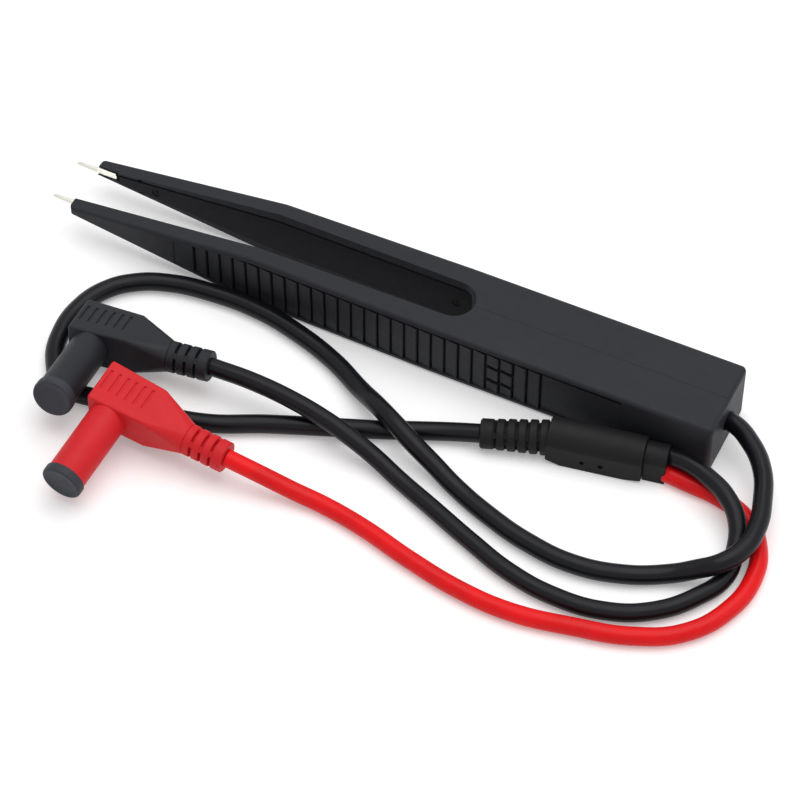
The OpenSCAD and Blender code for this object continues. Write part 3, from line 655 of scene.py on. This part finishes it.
def moulded(name, base, roughness, grain, grain_height, change=0.08, specular=0.2):
    """Moulded plastic: fine spark-eroded grain, faint flow marks and uneven gloss."""
    material, tree, shader, place = nodes_of(name)
    shader.inputs["Specular IOR Level"].default_value = specular
    fine = noise(tree, place, grain, 4)
    flow = noise(tree, place, 9, 2, (0.5, 1, 1))
    mottle(tree, shader, spread(tree, flow, 0, 1), base, change)
    vary_gloss(tree, shader, noise(tree, place, 1.6), roughness - 0.04, roughness + 0.05)
    relief(tree, shader, [(fine, grain_height), (flow, 0.02)])
    return material


def sheath(name, base):
    """Extruded cord sheath: glossy, with faint drawing marks and a little dust."""
    material, tree, shader, place = nodes_of(name)
    shader.inputs["Specular IOR Level"].default_value = 0.17
    fine = noise(tree, place, 0.35)
    slow = noise(tree, place, 6, 2)
    mottle(tree, shader, spread(tree, slow, 0, 1), base, 0.1)
    vary_gloss(tree, shader, slow, 0.25, 0.38)
    relief(tree, shader, [(fine, 0.006), (slow, 0.03)])
    return material


def plated(name, base, roughness, needle_end=None):
    """Plated metal with fine scratches along X; without a needle end it has a slight tarnish, with
    one a painted shade that makes the needle's base colour darker than the blade's.
    """
    material, tree, shader, place = nodes_of(name)
    shader.inputs["Metallic"].default_value = 1.0
    lines = noise(tree, place, 0.12, 3, (0.15, 1, 1))
    if needle_end is None:
        mottle(tree, shader, spread(tree, noise(tree, place, 1.2), 0, 1), base, 0.08)
    else:
        # Painted shade: past the needle's end the base colour runs from a darker tone on the needle
        # to a lighter one on the blade, standing in for the needle's darker reflections
        split = add_node(tree, "ShaderNodeSeparateXYZ", {}, {"Vector": place})
        share = add_node(
            tree, "ShaderNodeMapRange",
            {"From Min": (needle_end - 0.1) * MM, "From Max": (needle_end + 0.1) * MM},
            {"Value": split.outputs["X"]},
        )
        mottle(tree, shader, share.outputs["Result"], base, 0.16)
    vary_gloss(tree, shader, lines, roughness - 0.06, roughness + 0.1)
    relief(tree, shader, [(lines, 0.003)])
    return material


def finish(key):
    """The material of that name, made when it is first asked for."""
    if key in bpy.data.materials:
        return bpy.data.materials[key]
    c = bpy.context.scene.tweezers_colours
    maker, *values = {
        "body plastic": (moulded, c.body, 0.5, 0.22, 0.012, 0.08, 0.18),
        "cover plastic": (moulded, c.cover, 0.45, 0.3, 0.008, 0.08, 0.1),
        "junction plastic": (moulded, c.junction, 0.55, 0.3, 0.012, 0.08, 0.15),
        "black plug plastic": (moulded, c.black_plug, 0.5, 0.25, 0.014),
        "red plug plastic": (moulded, c.red_plug, 0.5, 0.25, 0.014, 0.05),
        "cap plastic": (moulded, c.cap, 0.55, 0.25, 0.014),
        "cord sheath": (sheath, c.cord),
        "red sheath": (sheath, c.red),
        # The contacts' needles carry a painted shade, a darker base colour than their blades
        "contact plating": (plated, c.metal, 0.28, BodyPlan().tip),
        "splice metal": (plated, (0.6, 0.6, 0.62), 0.35),
        "pin plating": (plated, (0.83, 0.72, 0.45), 0.25),
    }[key]
    return maker(key, *values)


# The pieces


class TWEEZERS_OT_camera(bpy.types.Operator):
    """Places the camera where the photograph was taken from"""

    bl_idname = "tweezers.camera"
    bl_label = "Camera"

    def execute(self, context):
        data = bpy.data.cameras.new("camera")
        data.lens = CAMERA_LENS
        data.sensor_width = 36
        data.clip_start = 0.05
        data.clip_end = 20
        camera = add_object("camera", data)
        camera.location = Vector(CAMERA_PLACE) * MM
        camera.rotation_euler = Vector(CAMERA_WAY).to_track_quat("-Z", "Y").to_euler()
        context.scene.camera = camera
        return {"FINISHED"}


def cord_along(name, route, diameter):
    """A round cord through every point of its route."""
    data = bpy.data.curves.new(name, "CURVE")
    data.dimensions = "3D"
    data.bevel_depth = diameter / 2
    data.bevel_resolution = 7
    data.resolution_u = 10
    data.use_fill_caps = True
    spline = data.splines.new("BEZIER")
    spline.bezier_points.add(len(route) - 1)
    for point, place in zip(spline.bezier_points, route):
        point.co = Vector(place) * MM
        point.handle_left_type = point.handle_right_type = "AUTO"
    return add_object(name, data)


class TWEEZERS_OT_cords(bpy.types.Operator):
    """Lays the two-core cord and the two leads"""

    bl_idname = "tweezers.cords"
    bl_label = "Cord and leads"

    def execute(self, context):
        sizes = context.scene.tweezers_cords
        for name, route, diameter, key, slot, node in (
            ("two_core_cord", CORD_ROUTE, sizes.cord, "cord sheath", "cord_black", "duplex_cord"),
            ("black_test_lead", BLACK_ROUTE, sizes.lead, "cord sheath", "cord_black", "black_lead"),
            ("red_test_lead", RED_ROUTE, sizes.lead, "red sheath", "lead_red", "red_lead"),
        ):
            obj = cord_along(name, route, diameter)
            dress(obj, key)
            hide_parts(node)
            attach(obj, "handle")
        return {"FINISHED"}


def arm_and_tail(plan):
    """The outer form of the far half: a rounded tail, drawn out to the knee and the tip."""
    b = plan.body
    w = b.width / 2
    half = box("far_half", (plan.slot, 0, 0), (plan.end, w, b.height))
    round_edges(half, b.corner, 5, lambda p, q: min(p.x, q.x) > plan.end - NEAR
                and min(p.y, q.y) > w - NEAR)
    round_edges(half, b.edge, 5, lambda p, q: abs(p.z - q.z) < NEAR and max(p.y, q.y) > NEAR
                and max(p.x, q.x) > plan.slot + NEAR)
    x, height = plan.slot, b.height
    for next_x, next_height in ((plan.knee, b.height), (plan.tip, b.tip_height)):
        pick_faces(half, (-1, 0, 0))
        draw_out(next_x - x)
        resize(1, plan.outer(next_x) / plan.outer(x), next_height / height, (0, 0, plan.mid))
        finish_edit()
        x, height = next_x, next_height

    # The long edges' rounding shrinks with the height up to the tip, and is made round again
    tip_w = plan.outer(plan.tip)
    flat_y = tip_w - b.edge * tip_w / w
    rounding = TIP_EDGE_SHARE * b.tip_height / 2
    for side in (-1, 1):
        pick_points(half, lambda p: p.x < plan.tip + NEAR and p.y > flat_y - HAIR
                    and (p.z - plan.mid) * side > 0)
        resize(1, rounding / (tip_w - flat_y), rounding * b.height / (b.edge * b.tip_height),
               (plan.tip, tip_w, plan.mid + side * b.tip_height / 2))
        finish_edit()
    return half


def tip_cutter(plan):
    """What the rounding takes off a tip's upright outer corner."""
    r, top = plan.body.tip_rounding, plan.body.height + PAST
    x, y = plan.tip + r, plan.outer(plan.tip + r) - r
    corner = box("tip_cutter", (plan.tip - PAST, y, -PAST), (x, y + r + PAST, top))
    return combine(corner, rod("tip_round", (x, y, -2 * PAST), (x, y, top + PAST), r, 48))


def slot_cutter(plan):
    """The slot between the arms up to its round end."""
    reach = 5.0
    front = plan.tip - PAST
    at_slot, at_knee, at_front = (reach + plan.inner(x) for x in (plan.slot, plan.knee, front))
    cutter = box("slot_cutter", (plan.knee, -reach, -PAST),
                 (plan.slot, plan.inner(plan.slot), plan.body.height + PAST))
    pick_faces(cutter, (-1, 0, 0))
    resize(y=at_knee / at_slot, about=(0, -reach, 0))
    draw_out(front - plan.knee)
    resize(y=at_front / at_knee, about=(0, -reach, 0))
    finish_edit()
    return cutter


def side_cutter(name, floor, z0, z1):
    """A cutter along the side, down to a floor of (x, y) points from front to back."""
    out = 2.0
    (x0, y0), (x1, y1) = floor[-2:]
    slab = box(name, (x0, y0, z0), (x1, y0 + out, z1))
    pick_faces(slab, (1, 0, 0))
    move(y=y1 - y0)
    finish_edit()
    for (x0, y0), (x1, y1) in reversed(list(zip(floor[:-2], floor[1:-1]))):
        pick_faces(slab, (-1, 0, 0))
        draw_out(x0 - x1, y0 - y1)
        finish_edit()
    return slab


def groove_places(plan):
    """Where the grooves of the grip lie."""
    g = plan.grip
    return [plan.tip + g.first + i * g.pitch for i in range(g.grooves)]


def rib_cutter(plan):
    """Leaves ribs that rise from the recess's floor to the side as they run back."""
    g = plan.grip
    crest, front, half_step = 0.02, 0.12, 0.15
    saw = [(plan.grip_start, front)]
    for x in groove_places(plan):
        saw += [(x - half_step, crest), (x + half_step, g.depth)]
    saw.append((plan.grip_end, crest))
    floor = [(x, plan.outer(x) - depth) for x, depth in saw]
    for x in (plan.knee, plan.slot):
        floor.append((x, plan.outer(x) - between(x, saw)))
    return side_cutter("rib_cutter", sorted(floor), g.low, g.low + g.height)


def band_cutter(plan):
    """The sunk band between the ribs and the rounded upper edge."""
    g = plan.grip
    z = g.low + g.height
    xs = [plan.grip_start, plan.knee, plan.slot, plan.grip_end]
    return side_cutter("band_cutter", [(x, plan.outer(x) - 2 * g.depth) for x in xs],
                       z - LAP, z + g.band + LAP)


def grip_zone(plan):
    """The part of the side that the grip may take, inside the arm's rounded edges."""
    g = plan.grip
    z0, z1 = g.low - GROOVE_FOOT, g.low + g.height + g.band
    x0, margin, out = plan.grip_start - 0.5, 2, 3
    arm_height = between(x0, [(plan.tip, plan.body.tip_height), (plan.knee, plan.body.height)])
    zone = box("grip_zone", (plan.knee, plan.inner(plan.slot) + PAST, z0),
               (plan.grip_end + PAST, plan.outer(plan.slot) + out, z1))
    pick_faces(zone, (-1, 0, 0))
    draw_out(x0 - plan.knee)
    resize(z=(arm_height - margin) / (z1 - z0), about=(0, 0, plan.mid))
    finish_edit()
    return zone


def groove_cutter(width, depth, z0, z1, lip):
    """A groove at Y zero with a chamfered rim, drawn outwards."""
    cutter = box("groove_cutter", (-width / 2, -depth, z0), (width / 2, -lip, z1))
    tall = z1 - z0
    pick_faces(cutter, (0, 1, 0))
    draw_out(y=lip)
    resize((width + 2 * lip) / width, 1, (tall + 2 * lip) / tall, (0, 0, (z0 + z1) / 2))
    draw_out(y=PAST)
    finish_edit()
    return cutter


def cut_grip(half, plan):
    """The grooves of the grip and the two slits across its last ribs."""
    g = plan.grip
    xs = groove_places(plan)
    cutter = rib_cutter(plan)
    unite(cutter, band_cutter(plan))
    groove = groove_cutter(g.groove_width, g.groove_depth, g.low - GROOVE_FOOT,
                           g.low + g.height + g.band / 2, g.lip)
    unite(cutter, copies(groove, [(x, plan.outer(x) - LAP, 0) for x in xs]))
    first, last, half_height, middle = 22, 24, 0.5, plan.mid - 0.45
    slit = box("slit_cutter", (xs[first], -g.groove_depth, -half_height),
               (xs[last], PAST, half_height))
    y = plan.outer(xs[first]) - g.depth
    unite(cutter, copies(slit, [(0, y, middle + z) for z in (-2, 2)]))
    combine(cutter, grip_zone(plan), "INTERSECT")
    combine(half, cutter)


def hollow(half, plan):
    """The room inside the tail, the way of an arm's wire and the two notches before the strip."""
    b = plan.body
    combine(half, box("room_cutter", (plan.cavity, -PAST, b.wall),
                      (plan.end - b.end_wall, b.width / 2 - b.wall, b.height - b.wall)))
    combine(half, rod("passage_cutter", (plan.pivot - 6, plan.root_y, plan.mid),
                      (plan.cavity + PAST, plan.root_y, plan.mid), 0.8, 24))

    # The channel behind the strip's floor, narrower from a step behind the knee to its front
    inner = plan.inner(plan.knee) + COVER_FLOOR - 0.3
    outer = plan.root_y + 0.6
    front, step, back = plan.tip + 10.4, plan.knee + 12, plan.pivot - 5.5
    half_height, narrower = 0.85, 0.55
    channel = box("wire_cutter", (step, inner, plan.mid - half_height),
                  (back, outer, plan.mid + half_height))
    pick_faces(channel, (-1, 0, 0))
    draw_out(-1)
    resize(y=1 - narrower / (outer - inner), about=(0, inner, 0))
    draw_out(front - step + 1)
    finish_edit()
    combine(half, channel)

    x = plan.tip + 10.3
    notch = box("notch_cutter", (-0.45, -0.5, -0.4), (0.45, 0.7, 0.4))
    combine(half, copies(notch, [(x, plan.inner(x), plan.mid + z) for z in (-1.75, 1.75)]))


def cover_slab(plan, name, near, far, gap):
    """A strip along the inside of the arm, between two depths behind its face."""
    x0 = plan.tip + COVER_START - gap
    x1 = plan.pivot + COVER_END + gap
    y = plan.inner(plan.knee)
    tall = plan.body.height / 2 - COVER_RIM + gap
    slab = box(name, (plan.knee, y + near, plan.mid - tall), (x1, y + far, plan.mid + tall))
    pick_faces(slab, (1, 0, 0))
    move(y=plan.inner(x1) - y)
    finish_edit()
    pick_faces(slab, (-1, 0, 0))
    draw_out(x0 - plan.knee, plan.inner(x0) - y)
    resize(z=(COVER_TIP_H / 2 + gap) / tall, about=(0, 0, plan.mid))
    finish_edit()
    return slab


class TWEEZERS_OT_halves(bpy.types.Operator):
    """Builds the two moulded halves, each an arm and its side of the tail"""

    bl_idname = "tweezers.halves"
    bl_label = "Moulded halves"

    def execute(self, context):
        plan = BodyPlan()
        b = plan.body
        cord = millimetres(context.scene.tweezers_cords).cord
        half = arm_and_tail(plan)
        combine(half, slot_cutter(plan))
        combine(half, rod("slot_end_cutter", (plan.slot, 0, -PAST),
                          (plan.slot, 0, b.height + PAST), b.slot_width / 2, 64))
        combine(half, rod("outlet_cutter", (plan.end - b.end_wall - PAST, 0, plan.mid),
                          (plan.end + PAST, 0, plan.mid), cord / 2 + 0.1))
        combine(half, cover_slab(plan, "pocket_cutter", -PAST, COVER_FLOOR, COVER_GAP))
        combine(half, tip_cutter(plan))
        soften(half, b.soft_edge)
        cut_grip(half, plan)
        hollow(half, plan)
        face_outwards(half)
        near = mirrored(half, "near_half")

        # The contact's pocket is open above on the far side and below on the near side
        x0, x1, y, room = plan.tip - PAST, plan.tip + 5.1, 5.4, 0.85
        combine(half, box("far_pocket", (x0, 0, plan.mid - room), (x1, y, b.height)))
        combine(near, box("near_pocket", (x0, -y, 0), (x1, 0, plan.mid + room)))
        for obj, side in ((half, "far"), (near, "near")):
            face_outwards(obj)
            hand_over(obj, "body plastic", "body_plastic", None, f"tail_{side}", f"arm_{side}")
            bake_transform(obj)
        return {"FINISHED"}


class TWEEZERS_OT_covers(bpy.types.Operator):
    """Builds the cover strips inside the arms"""

    bl_idname = "tweezers.covers"
    bl_label = "Inner covers"

    def execute(self, context):
        plan = BodyPlan()
        strip = cover_slab(plan, "far_cover", COVER_SINK, COVER_FLOOR, 0)
        soften(strip, 0.1)

        # Two round marks, each a shallow hole with a raised dot
        hole, dot, deep = 0.9, 0.45, 0.15
        for x in (plan.tip + 14, plan.pivot + 1.1):
            y = plan.inner(x) + COVER_SINK
            combine(strip, rod("mark_cutter", (x, y - PAST, plan.mid), (x, y + deep, plan.mid),
                               hole, 24))
            unite(strip, rod("mark_dot", (x, y + 2 * deep, plan.mid), (x, y + 0.04, plan.mid),
                             dot, 24))
        face_outwards(strip)
        hand_over_pair(strip, "cover plastic", "cover_plastic", "inner_cover")
        return {"FINISHED"}


class TWEEZERS_OT_contacts(bpy.types.Operator):
    """Builds the plated contacts, each a needle and its rounded blade"""

    bl_idname = "tweezers.contacts"
    bl_label = "Contacts"

    def execute(self, context):
        plan = BodyPlan()
        y, half_thick, half_height, blade_end = 5.1, 0.2, 0.75, plan.tip + 4.5
        needle = turned("far_contact", [
            (0, 0.12), (0.04, 0.22), (0.12, 0.31), (0.3, 0.37), (2.4, 0.46), (5, 0.55), (5.6, 0.57),
        ], 24)
        lay(needle, shift(plan.tip - plan.NEEDLE, y, plan.mid) @ rotation(90, "Y"))
        blade = box("blade", (plan.tip, y - half_thick, plan.mid - half_height),
                    (blade_end, y + half_thick, plan.mid + half_height))
        round_edges(blade, 0.7, 7, lambda p, q: abs(p.y - q.y) > half_thick
                    and p.x > blade_end - NEAR)
        soften(blade, 0.08)
        unite(needle, blade)
        face_outwards(needle)
        hand_over_pair(needle, "contact plating", "contact_metal", "contact")
        return {"FINISHED"}


def ringed(first, count, start, pitch, width, radius_of, neck, edge=0.2):
    """Steps of a neck with rings on it, each ring with chamfered rims."""
    steps = list(first)
    for i in range(count):
        z, r = start + i * pitch, radius_of(i)
        steps += [(z, neck), (z, r - edge), (z + edge, r), (z + width - edge, r),
                  (z + width, r - edge), (z + width, neck)]
    return steps


def add_webs(rings, half_width, z0, z1, half_thick=0.6):
    """Joins the rings of a sleeve with two crossed webs."""
    for angle in (45, 135):
        web = box("web", (-half_width, -half_thick, z0), (half_width, half_thick, z1))
        unite(rings, lay(web, rotation(angle, "Z")))


def block_frame(s):
    """Where the junction block lies: X along it towards the leads, Z up from the table."""
    turn = math.radians(BOOT_TURN)
    x, y, _ = CORD_ROUTE[-1]
    return (shift(x + s.boot_length * math.cos(turn), y + s.boot_length * math.sin(turn),
                  BLOCK_LIFT) @ rotation(BLOCK_TURN, "Z"))


def vaulted(name, x0, length_x, width, side, rise):
    """A block with upright sides and a vaulted top that meets them in a soft crease."""
    radius = (width * width / 4 + rise * rise) / (2 * rise)
    x1, axis = x0 + length_x, side + rise - radius
    block = box(name, (x0, -width / 2, 0), (x1, width / 2, side + rise))
    top = rod("vault", (x0 - PAST, 0, axis), (x1 + PAST, 0, axis), radius, 96)
    unite(top, box("base", (x0 - PAST, -width, -PAST), (x1 + PAST, width, side)))
    return combine(block, top, "INTERSECT")


def boot_shape(s):
    """The ribbed boot along Z: a collar, then rings that grow towards the block."""
    collar, small, large, neck, edge = 2.75, 3.05, 3.6, 2.3, 0.2
    pitch = (s.boot_length - collar) / s.boot_rings
    boot = turned("ribbed_boot", ringed(
        [(0, small - 0.3), (0.3, small), (collar - edge, small), (collar, small - edge)],
        s.boot_rings, collar + pitch * 0.25, pitch, pitch * 0.75,
        lambda i: small + (large - small) * (i + 1) / s.boot_rings, neck, edge,
    ))
    add_webs(boot, 2.8, 0.5, s.boot_length - 0.5)
    return boot


def block_shape(s):
    """The vaulted block, with its underside bevelled at both ends and two holes in its side."""
    block = vaulted("junction_block", 0, s.block_length, s.block_width, s.block_side, s.block_vault)
    reach = 5
    for x, way, slope in ((3, 1, 1 / 3), (s.block_length - 3.5, -1, 0.6 / 3.5)):
        end = -reach * way
        bevel = box("bevel_cutter", (min(0, end), -reach, -4), (max(0, end), reach, 0))
        lay(bevel, shift(x) @ Matrix.Rotation(way * math.atan(slope), 4, "Y"))
        combine(block, bevel)
    soften(block, 0.25, 3, 25)
    face, hole_z, radius, deep = -s.block_width / 2, 2.5, 0.55, 0.4
    for x in (7.5, 11.3):
        combine(block, rod("hole_cutter", (x, face - PAST, hole_z), (x, face + deep, hole_z),
                           radius, 24))
    return block


class TWEEZERS_OT_junction(bpy.types.Operator):
    """Builds the junction: ribbed boot, vaulted block and end collar"""

    bl_idname = "tweezers.junction"
    bl_label = "Junction"

    def execute(self, context):
        s = millimetres(context.scene.tweezers_cords)
        place = block_frame(s)
        start = Vector(CORD_ROUTE[-1])
        way = place.translation / MM + Vector((0, 0, BLOCK_AXIS_Z - BLOCK_LIFT)) - start
        boot = lay(boot_shape(s), shift(*start) @ way.to_track_quat("Z", "Y").to_matrix().to_4x4())
        block = block_shape(s)
        collar = vaulted("junction_collar_end", s.block_length, s.collar_length, s.collar_width,
                         s.collar_side, s.collar_vault)
        soften(collar, 0.2, 3, 25)
        lay(block, place @ shift(y=0.2))
        lay(collar, place @ shift(y=0.35))
        for obj, node in ((boot, "junction_boot"), (block, "junction_body"),
                          (collar, "junction_collar")):
            hand_over(obj, "junction plastic", "overmould_black", "handle", node)
        return {"FINISHED"}


def plug_frame(s, route, tilt):
    """Where a plug lies: its pin along -Y and its lead along +X."""
    end = s.length - s.back + s.shoulder + s.relief
    turn = Euler([math.radians(a) for a in tilt]).to_matrix().to_4x4()
    return shift(*route[-1]) @ turn @ shift(-end, s.lead_offset)


def relief_shape(s):
    """The slotted strain relief along Z, with a longer last ring."""
    neck, ring, edge = s.neck / 2 - 0.25, s.ring_diameter / 2, 0.15
    pitch = (s.relief - s.ring_end) / (s.rings - 1)
    steps = ringed([(-1.0, s.neck / 2)], s.rings, 0.0, pitch, s.ring, lambda i: ring, neck, edge)
    # The first ring's chamfer runs on into the shoulder, so that no two faces lie in one plane
    steps[1:3] = [(-edge, neck), (-edge, ring - 2 * edge)]
    longer = s.ring_end - s.ring
    rings = turned("rings", steps[:-3] + [(z + longer, r) for z, r in steps[-3:]])
    add_webs(rings, ring - 0.25, -0.5, s.relief - s.ring / 2)
    return rings


def plug_moulding(s, name):
    """The gripped body, its faceted shoulder and the slotted strain relief."""
    shoulder_x = s.length - s.back
    relief_x = shoulder_x + s.shoulder
    w, h = s.width / 2, s.height / 2
    body = box(name, (-s.back, -w, -h), (shoulder_x, w, h))
    pick_edges(body, lambda p, q: min(p.x, q.x) > shoulder_x - NEAR and min(p.y, q.y) > w - NEAR)
    move(y=-0.8)
    finish_edit()
    round_edges(body, 0.6, 4, lambda p, q: True)
    join([body, disc("relief_root", s.shoulder_end / 2, (relief_x, -s.lead_offset, 0),
                     (0, math.radians(90), 0))])
    edit_all(body)
    bpy.ops.mesh.convex_hull()
    finish_edit()
    face_outwards(body)
    rings = lay(relief_shape(s), shift(relief_x, -s.lead_offset) @ rotation(90, "Y"))
    unite(body, rings)

    line = groove_cutter(s.line_width, s.line_depth, -s.line_length / 2, s.line_length / 2, 0.12)
    lay(line, rotation(90, "X"))
    under = lay(duplicate(line, "line_under"), rotation(180, "X"))
    xs = [shoulder_x - 2.45 - i * s.line_pitch for i in range(s.lines)]
    for cutter, z in ((line, h), (under, -h)):
        combine(body, copies(cutter, [(x, 0.4, z) for x in xs]))
    return body


def shroud_shape(s, name):
    """The insulating tube, from its root in the body to its mouth, along Z."""
    r, bore, mouth, edge = s.shroud / 2, s.bore / 2, s.shroud_length, 0.15
    return turned(name, [
        (-s.shroud_root, r), (mouth - edge, r), (mouth, r - edge),
        (mouth, bore + edge), (mouth - edge, bore), (0, bore),
    ], 64)


def cap_shape(s, name):
    """The pull-off cap: a cup over the mouth with a rounded rim and a slightly dished end."""
    r, inside, pole = s.cap / 2, s.shroud / 2 + 0.05, 0.4
    mouth, top, edge = s.shroud_length, s.shroud_length + s.cap_nose, 0.12
    brim = mouth - s.cap_overlap
    return turned(name, [
        (top - s.cap_end, pole), (top - s.cap_end, inside), (brim, inside), (brim, r - edge),
        (brim + edge, r), (top - 0.55, r), (top - 0.25, r - 0.08), (top - 0.07, r - 0.25),
        (top, r - 0.5), (top - 0.04, r - 0.8), (top - 0.2, r - 1.2), (top - 0.3, r - 2),
        (top - 0.32, pole),
    ], 64)


class TWEEZERS_OT_plugs(bpy.types.Operator):
    """Builds the two right-angle plugs with their shrouds and caps"""

    bl_idname = "tweezers.plugs"
    bl_label = "Plugs"

    def execute(self, context):
        s = millimetres(context.scene.tweezers_plugs)
        for shade, route, tilt in (("black", BLACK_ROUTE, BLACK_TILT),
                                   ("red", RED_ROUTE, RED_TILT)):
            place = plug_frame(s, route, tilt)
            out = place @ shift(y=-s.width / 2) @ rotation(90, "X")
            moulding = lay(plug_moulding(s, f"{shade}_plug_moulding"), place)
            shroud = lay(shroud_shape(s, f"{shade}_plug_shroud"), out)
            cap = lay(cap_shape(s, f"{shade}_pull_cap"), out)
            key, slot = f"{shade} plug plastic", f"overmould_{shade}"
            hand_over(moulding, key, slot, "handle", f"{shade}_plug_body")
            hand_over(shroud, key, slot, "handle", f"{shade}_shroud")
            hand_over(cap, "cap plastic", "cap_plastic", f"{shade}_cap_body", f"{shade}_cap")
        return {"FINISHED"}


class TWEEZERS_OT_inner_parts(bpy.types.Operator):
    """Gives the wires, the clamp, the splices and the pins their finishes"""

    bl_idname = "tweezers.inner_parts"
    bl_label = "Inner parts"

    FINISHES = {
        "red sheath": ("arm_wire_far", "tail_wire_far"),
        "cord sheath": ("arm_wire_near", "tail_wire_near"),
        "splice metal": ("cord_clamp", "splice_sleeve_black", "splice_sleeve_red"),
        "pin plating": ("black_pin", "red_pin"),
    }

    def execute(self, context):
        for key, names in self.FINISHES.items():
            for name in names:
                dress(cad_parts[name], key)
        return {"FINISHED"}


class TWEEZERS_OT_declare_cords(bpy.types.Operator):
    bl_idname = "tweezers.declare_cords"
    bl_label = "Declare cords"

    def execute(self, context):
        end = BodyPlan().end
        return {"FINISHED"}


def lamp(name, place, size, power):
    """A square softbox aimed at the tweezers, in metres."""
    data = bpy.data.lights.new(name, "AREA")
    data.shape = "SQUARE"
    data.size = size
    data.energy = power
    obj = add_object(name, data)
    obj.location = place
    aim = Vector((0, -0.02, 0))
    obj.rotation_euler = (aim - Vector(place)).to_track_quat("-Z", "Y").to_euler()


def seen_white(tree, plain, white, output):
    """Shows a white shader to the camera, metal and glass, and a plain one to the rest."""
    path = tree.nodes.new("ShaderNodeLightPath")
    seen = path.outputs["Is Camera Ray"]
    for ray in ("Is Glossy Ray", "Is Transmission Ray"):
        most = add_node(tree, "ShaderNodeMath", {}, {0: seen, 1: path.outputs[ray]})
        most.operation = "MAXIMUM"
        seen = most.outputs["Value"]
    mix = add_node(tree, "ShaderNodeMixShader", {}, {"Fac": seen, 1: plain, 2: white})
    tree.links.new(mix.outputs["Shader"], tree.nodes[output].inputs["Surface"])


class TWEEZERS_OT_stage(bpy.types.Operator):
    """Sets the pale table, the soft studio light and the white surroundings"""

    bl_idname = "tweezers.stage"
    bl_label = "Stage"

    def execute(self, context):
        context.scene.view_settings.view_transform = "Standard"
        deselect()
        bpy.ops.mesh.primitive_plane_add(size=6, location=(0, 0, 0))
        table = settle("table")
        material, tree, shader, _ = nodes_of("pale table")
        shader.inputs["Base Color"].default_value = (0.9, 0.9, 0.905, 1)
        shader.inputs["Roughness"].default_value = 0.75
        plain = shader.outputs["BSDF"]
        glow = add_node(tree, "ShaderNodeEmission", {"Strength": 0.25}, {})
        lit = add_node(tree, "ShaderNodeAddShader", {}, {0: plain, 1: glow.outputs["Emission"]})
        seen_white(tree, plain, lit.outputs["Shader"], "Material Output")
        table.data.materials.append(material)

        world = bpy.data.worlds.new("studio")
        context.scene.world = world
        world.use_nodes = True
        tree = world.node_tree
        dim = tree.nodes["Background"]
        white = tree.nodes.new("ShaderNodeBackground")
        for background, strength in ((dim, 0.45), (white, 1.0)):
            background.inputs["Color"].default_value = (1, 1, 1, 1)
            background.inputs["Strength"].default_value = strength
        seen_white(tree, dim.outputs["Background"], white.outputs["Background"], "World Output")

        lamp("overhead softbox", (0.08, 0.12, 0.95), 1.0, 6.6)
        lamp("side softbox", (0.9, 0.1, 0.5), 0.5, 0.4)
        return {"FINISHED"}


STEPS = [
    TWEEZERS_OT_camera, TWEEZERS_OT_cords, TWEEZERS_OT_halves, TWEEZERS_OT_covers,
    TWEEZERS_OT_contacts, TWEEZERS_OT_junction, TWEEZERS_OT_plugs, TWEEZERS_OT_inner_parts,
    TWEEZERS_OT_declare_cords, TWEEZERS_OT_stage,
]
GROUPS = {
    "tweezers_body": TweezersBody,
    "tweezers_grip": TweezersGrip,
    "tweezers_cords": TweezersCords,
    "tweezers_plugs": TweezersPlugs,
    "tweezers_colours": TweezersColours,
}


class TWEEZERS_PT_panel(bpy.types.Panel):
    """Lists the sizes, the colours and the steps that build the tweezers"""

    bl_label = "Test tweezers"
    bl_idname = "TWEEZERS_PT_panel"
    bl_space_type = "VIEW_3D"
    bl_region_type = "UI"
    bl_category = "Tweezers"

    def draw(self, context):
        for step in STEPS:
            self.layout.operator(step.bl_idname)
        for name in GROUPS:
            group = getattr(context.scene, name)
            column = self.layout.box().column()
            for key in group.bl_rna.properties.keys():
                if key not in ("rna_type", "name"):
                    column.prop(group, key)


def register():
    for name, group in GROUPS.items():
        bpy.utils.register_class(group)
        setattr(bpy.types.Scene, name, bpy.props.PointerProperty(type=group))
    for step in STEPS:
        bpy.utils.register_class(step)
    bpy.utils.register_class(TWEEZERS_PT_panel)


def unregister():
    bpy.utils.unregister_class(TWEEZERS_PT_panel)
    for step in reversed(STEPS):
        bpy.utils.unregister_class(step)
    for name, group in GROUPS.items():
        delattr(bpy.types.Scene, name)
        bpy.utils.unregister_class(group)


def main():
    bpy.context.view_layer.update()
    register()
    for step in STEPS:
        group, name = step.bl_idname.split(".")
        result = getattr(getattr(bpy.ops, group), name)()
        if "FINISHED" not in result:
            raise RuntimeError(f"{step.bl_label} did not finish")


if __name__ == "__main__":
    main()
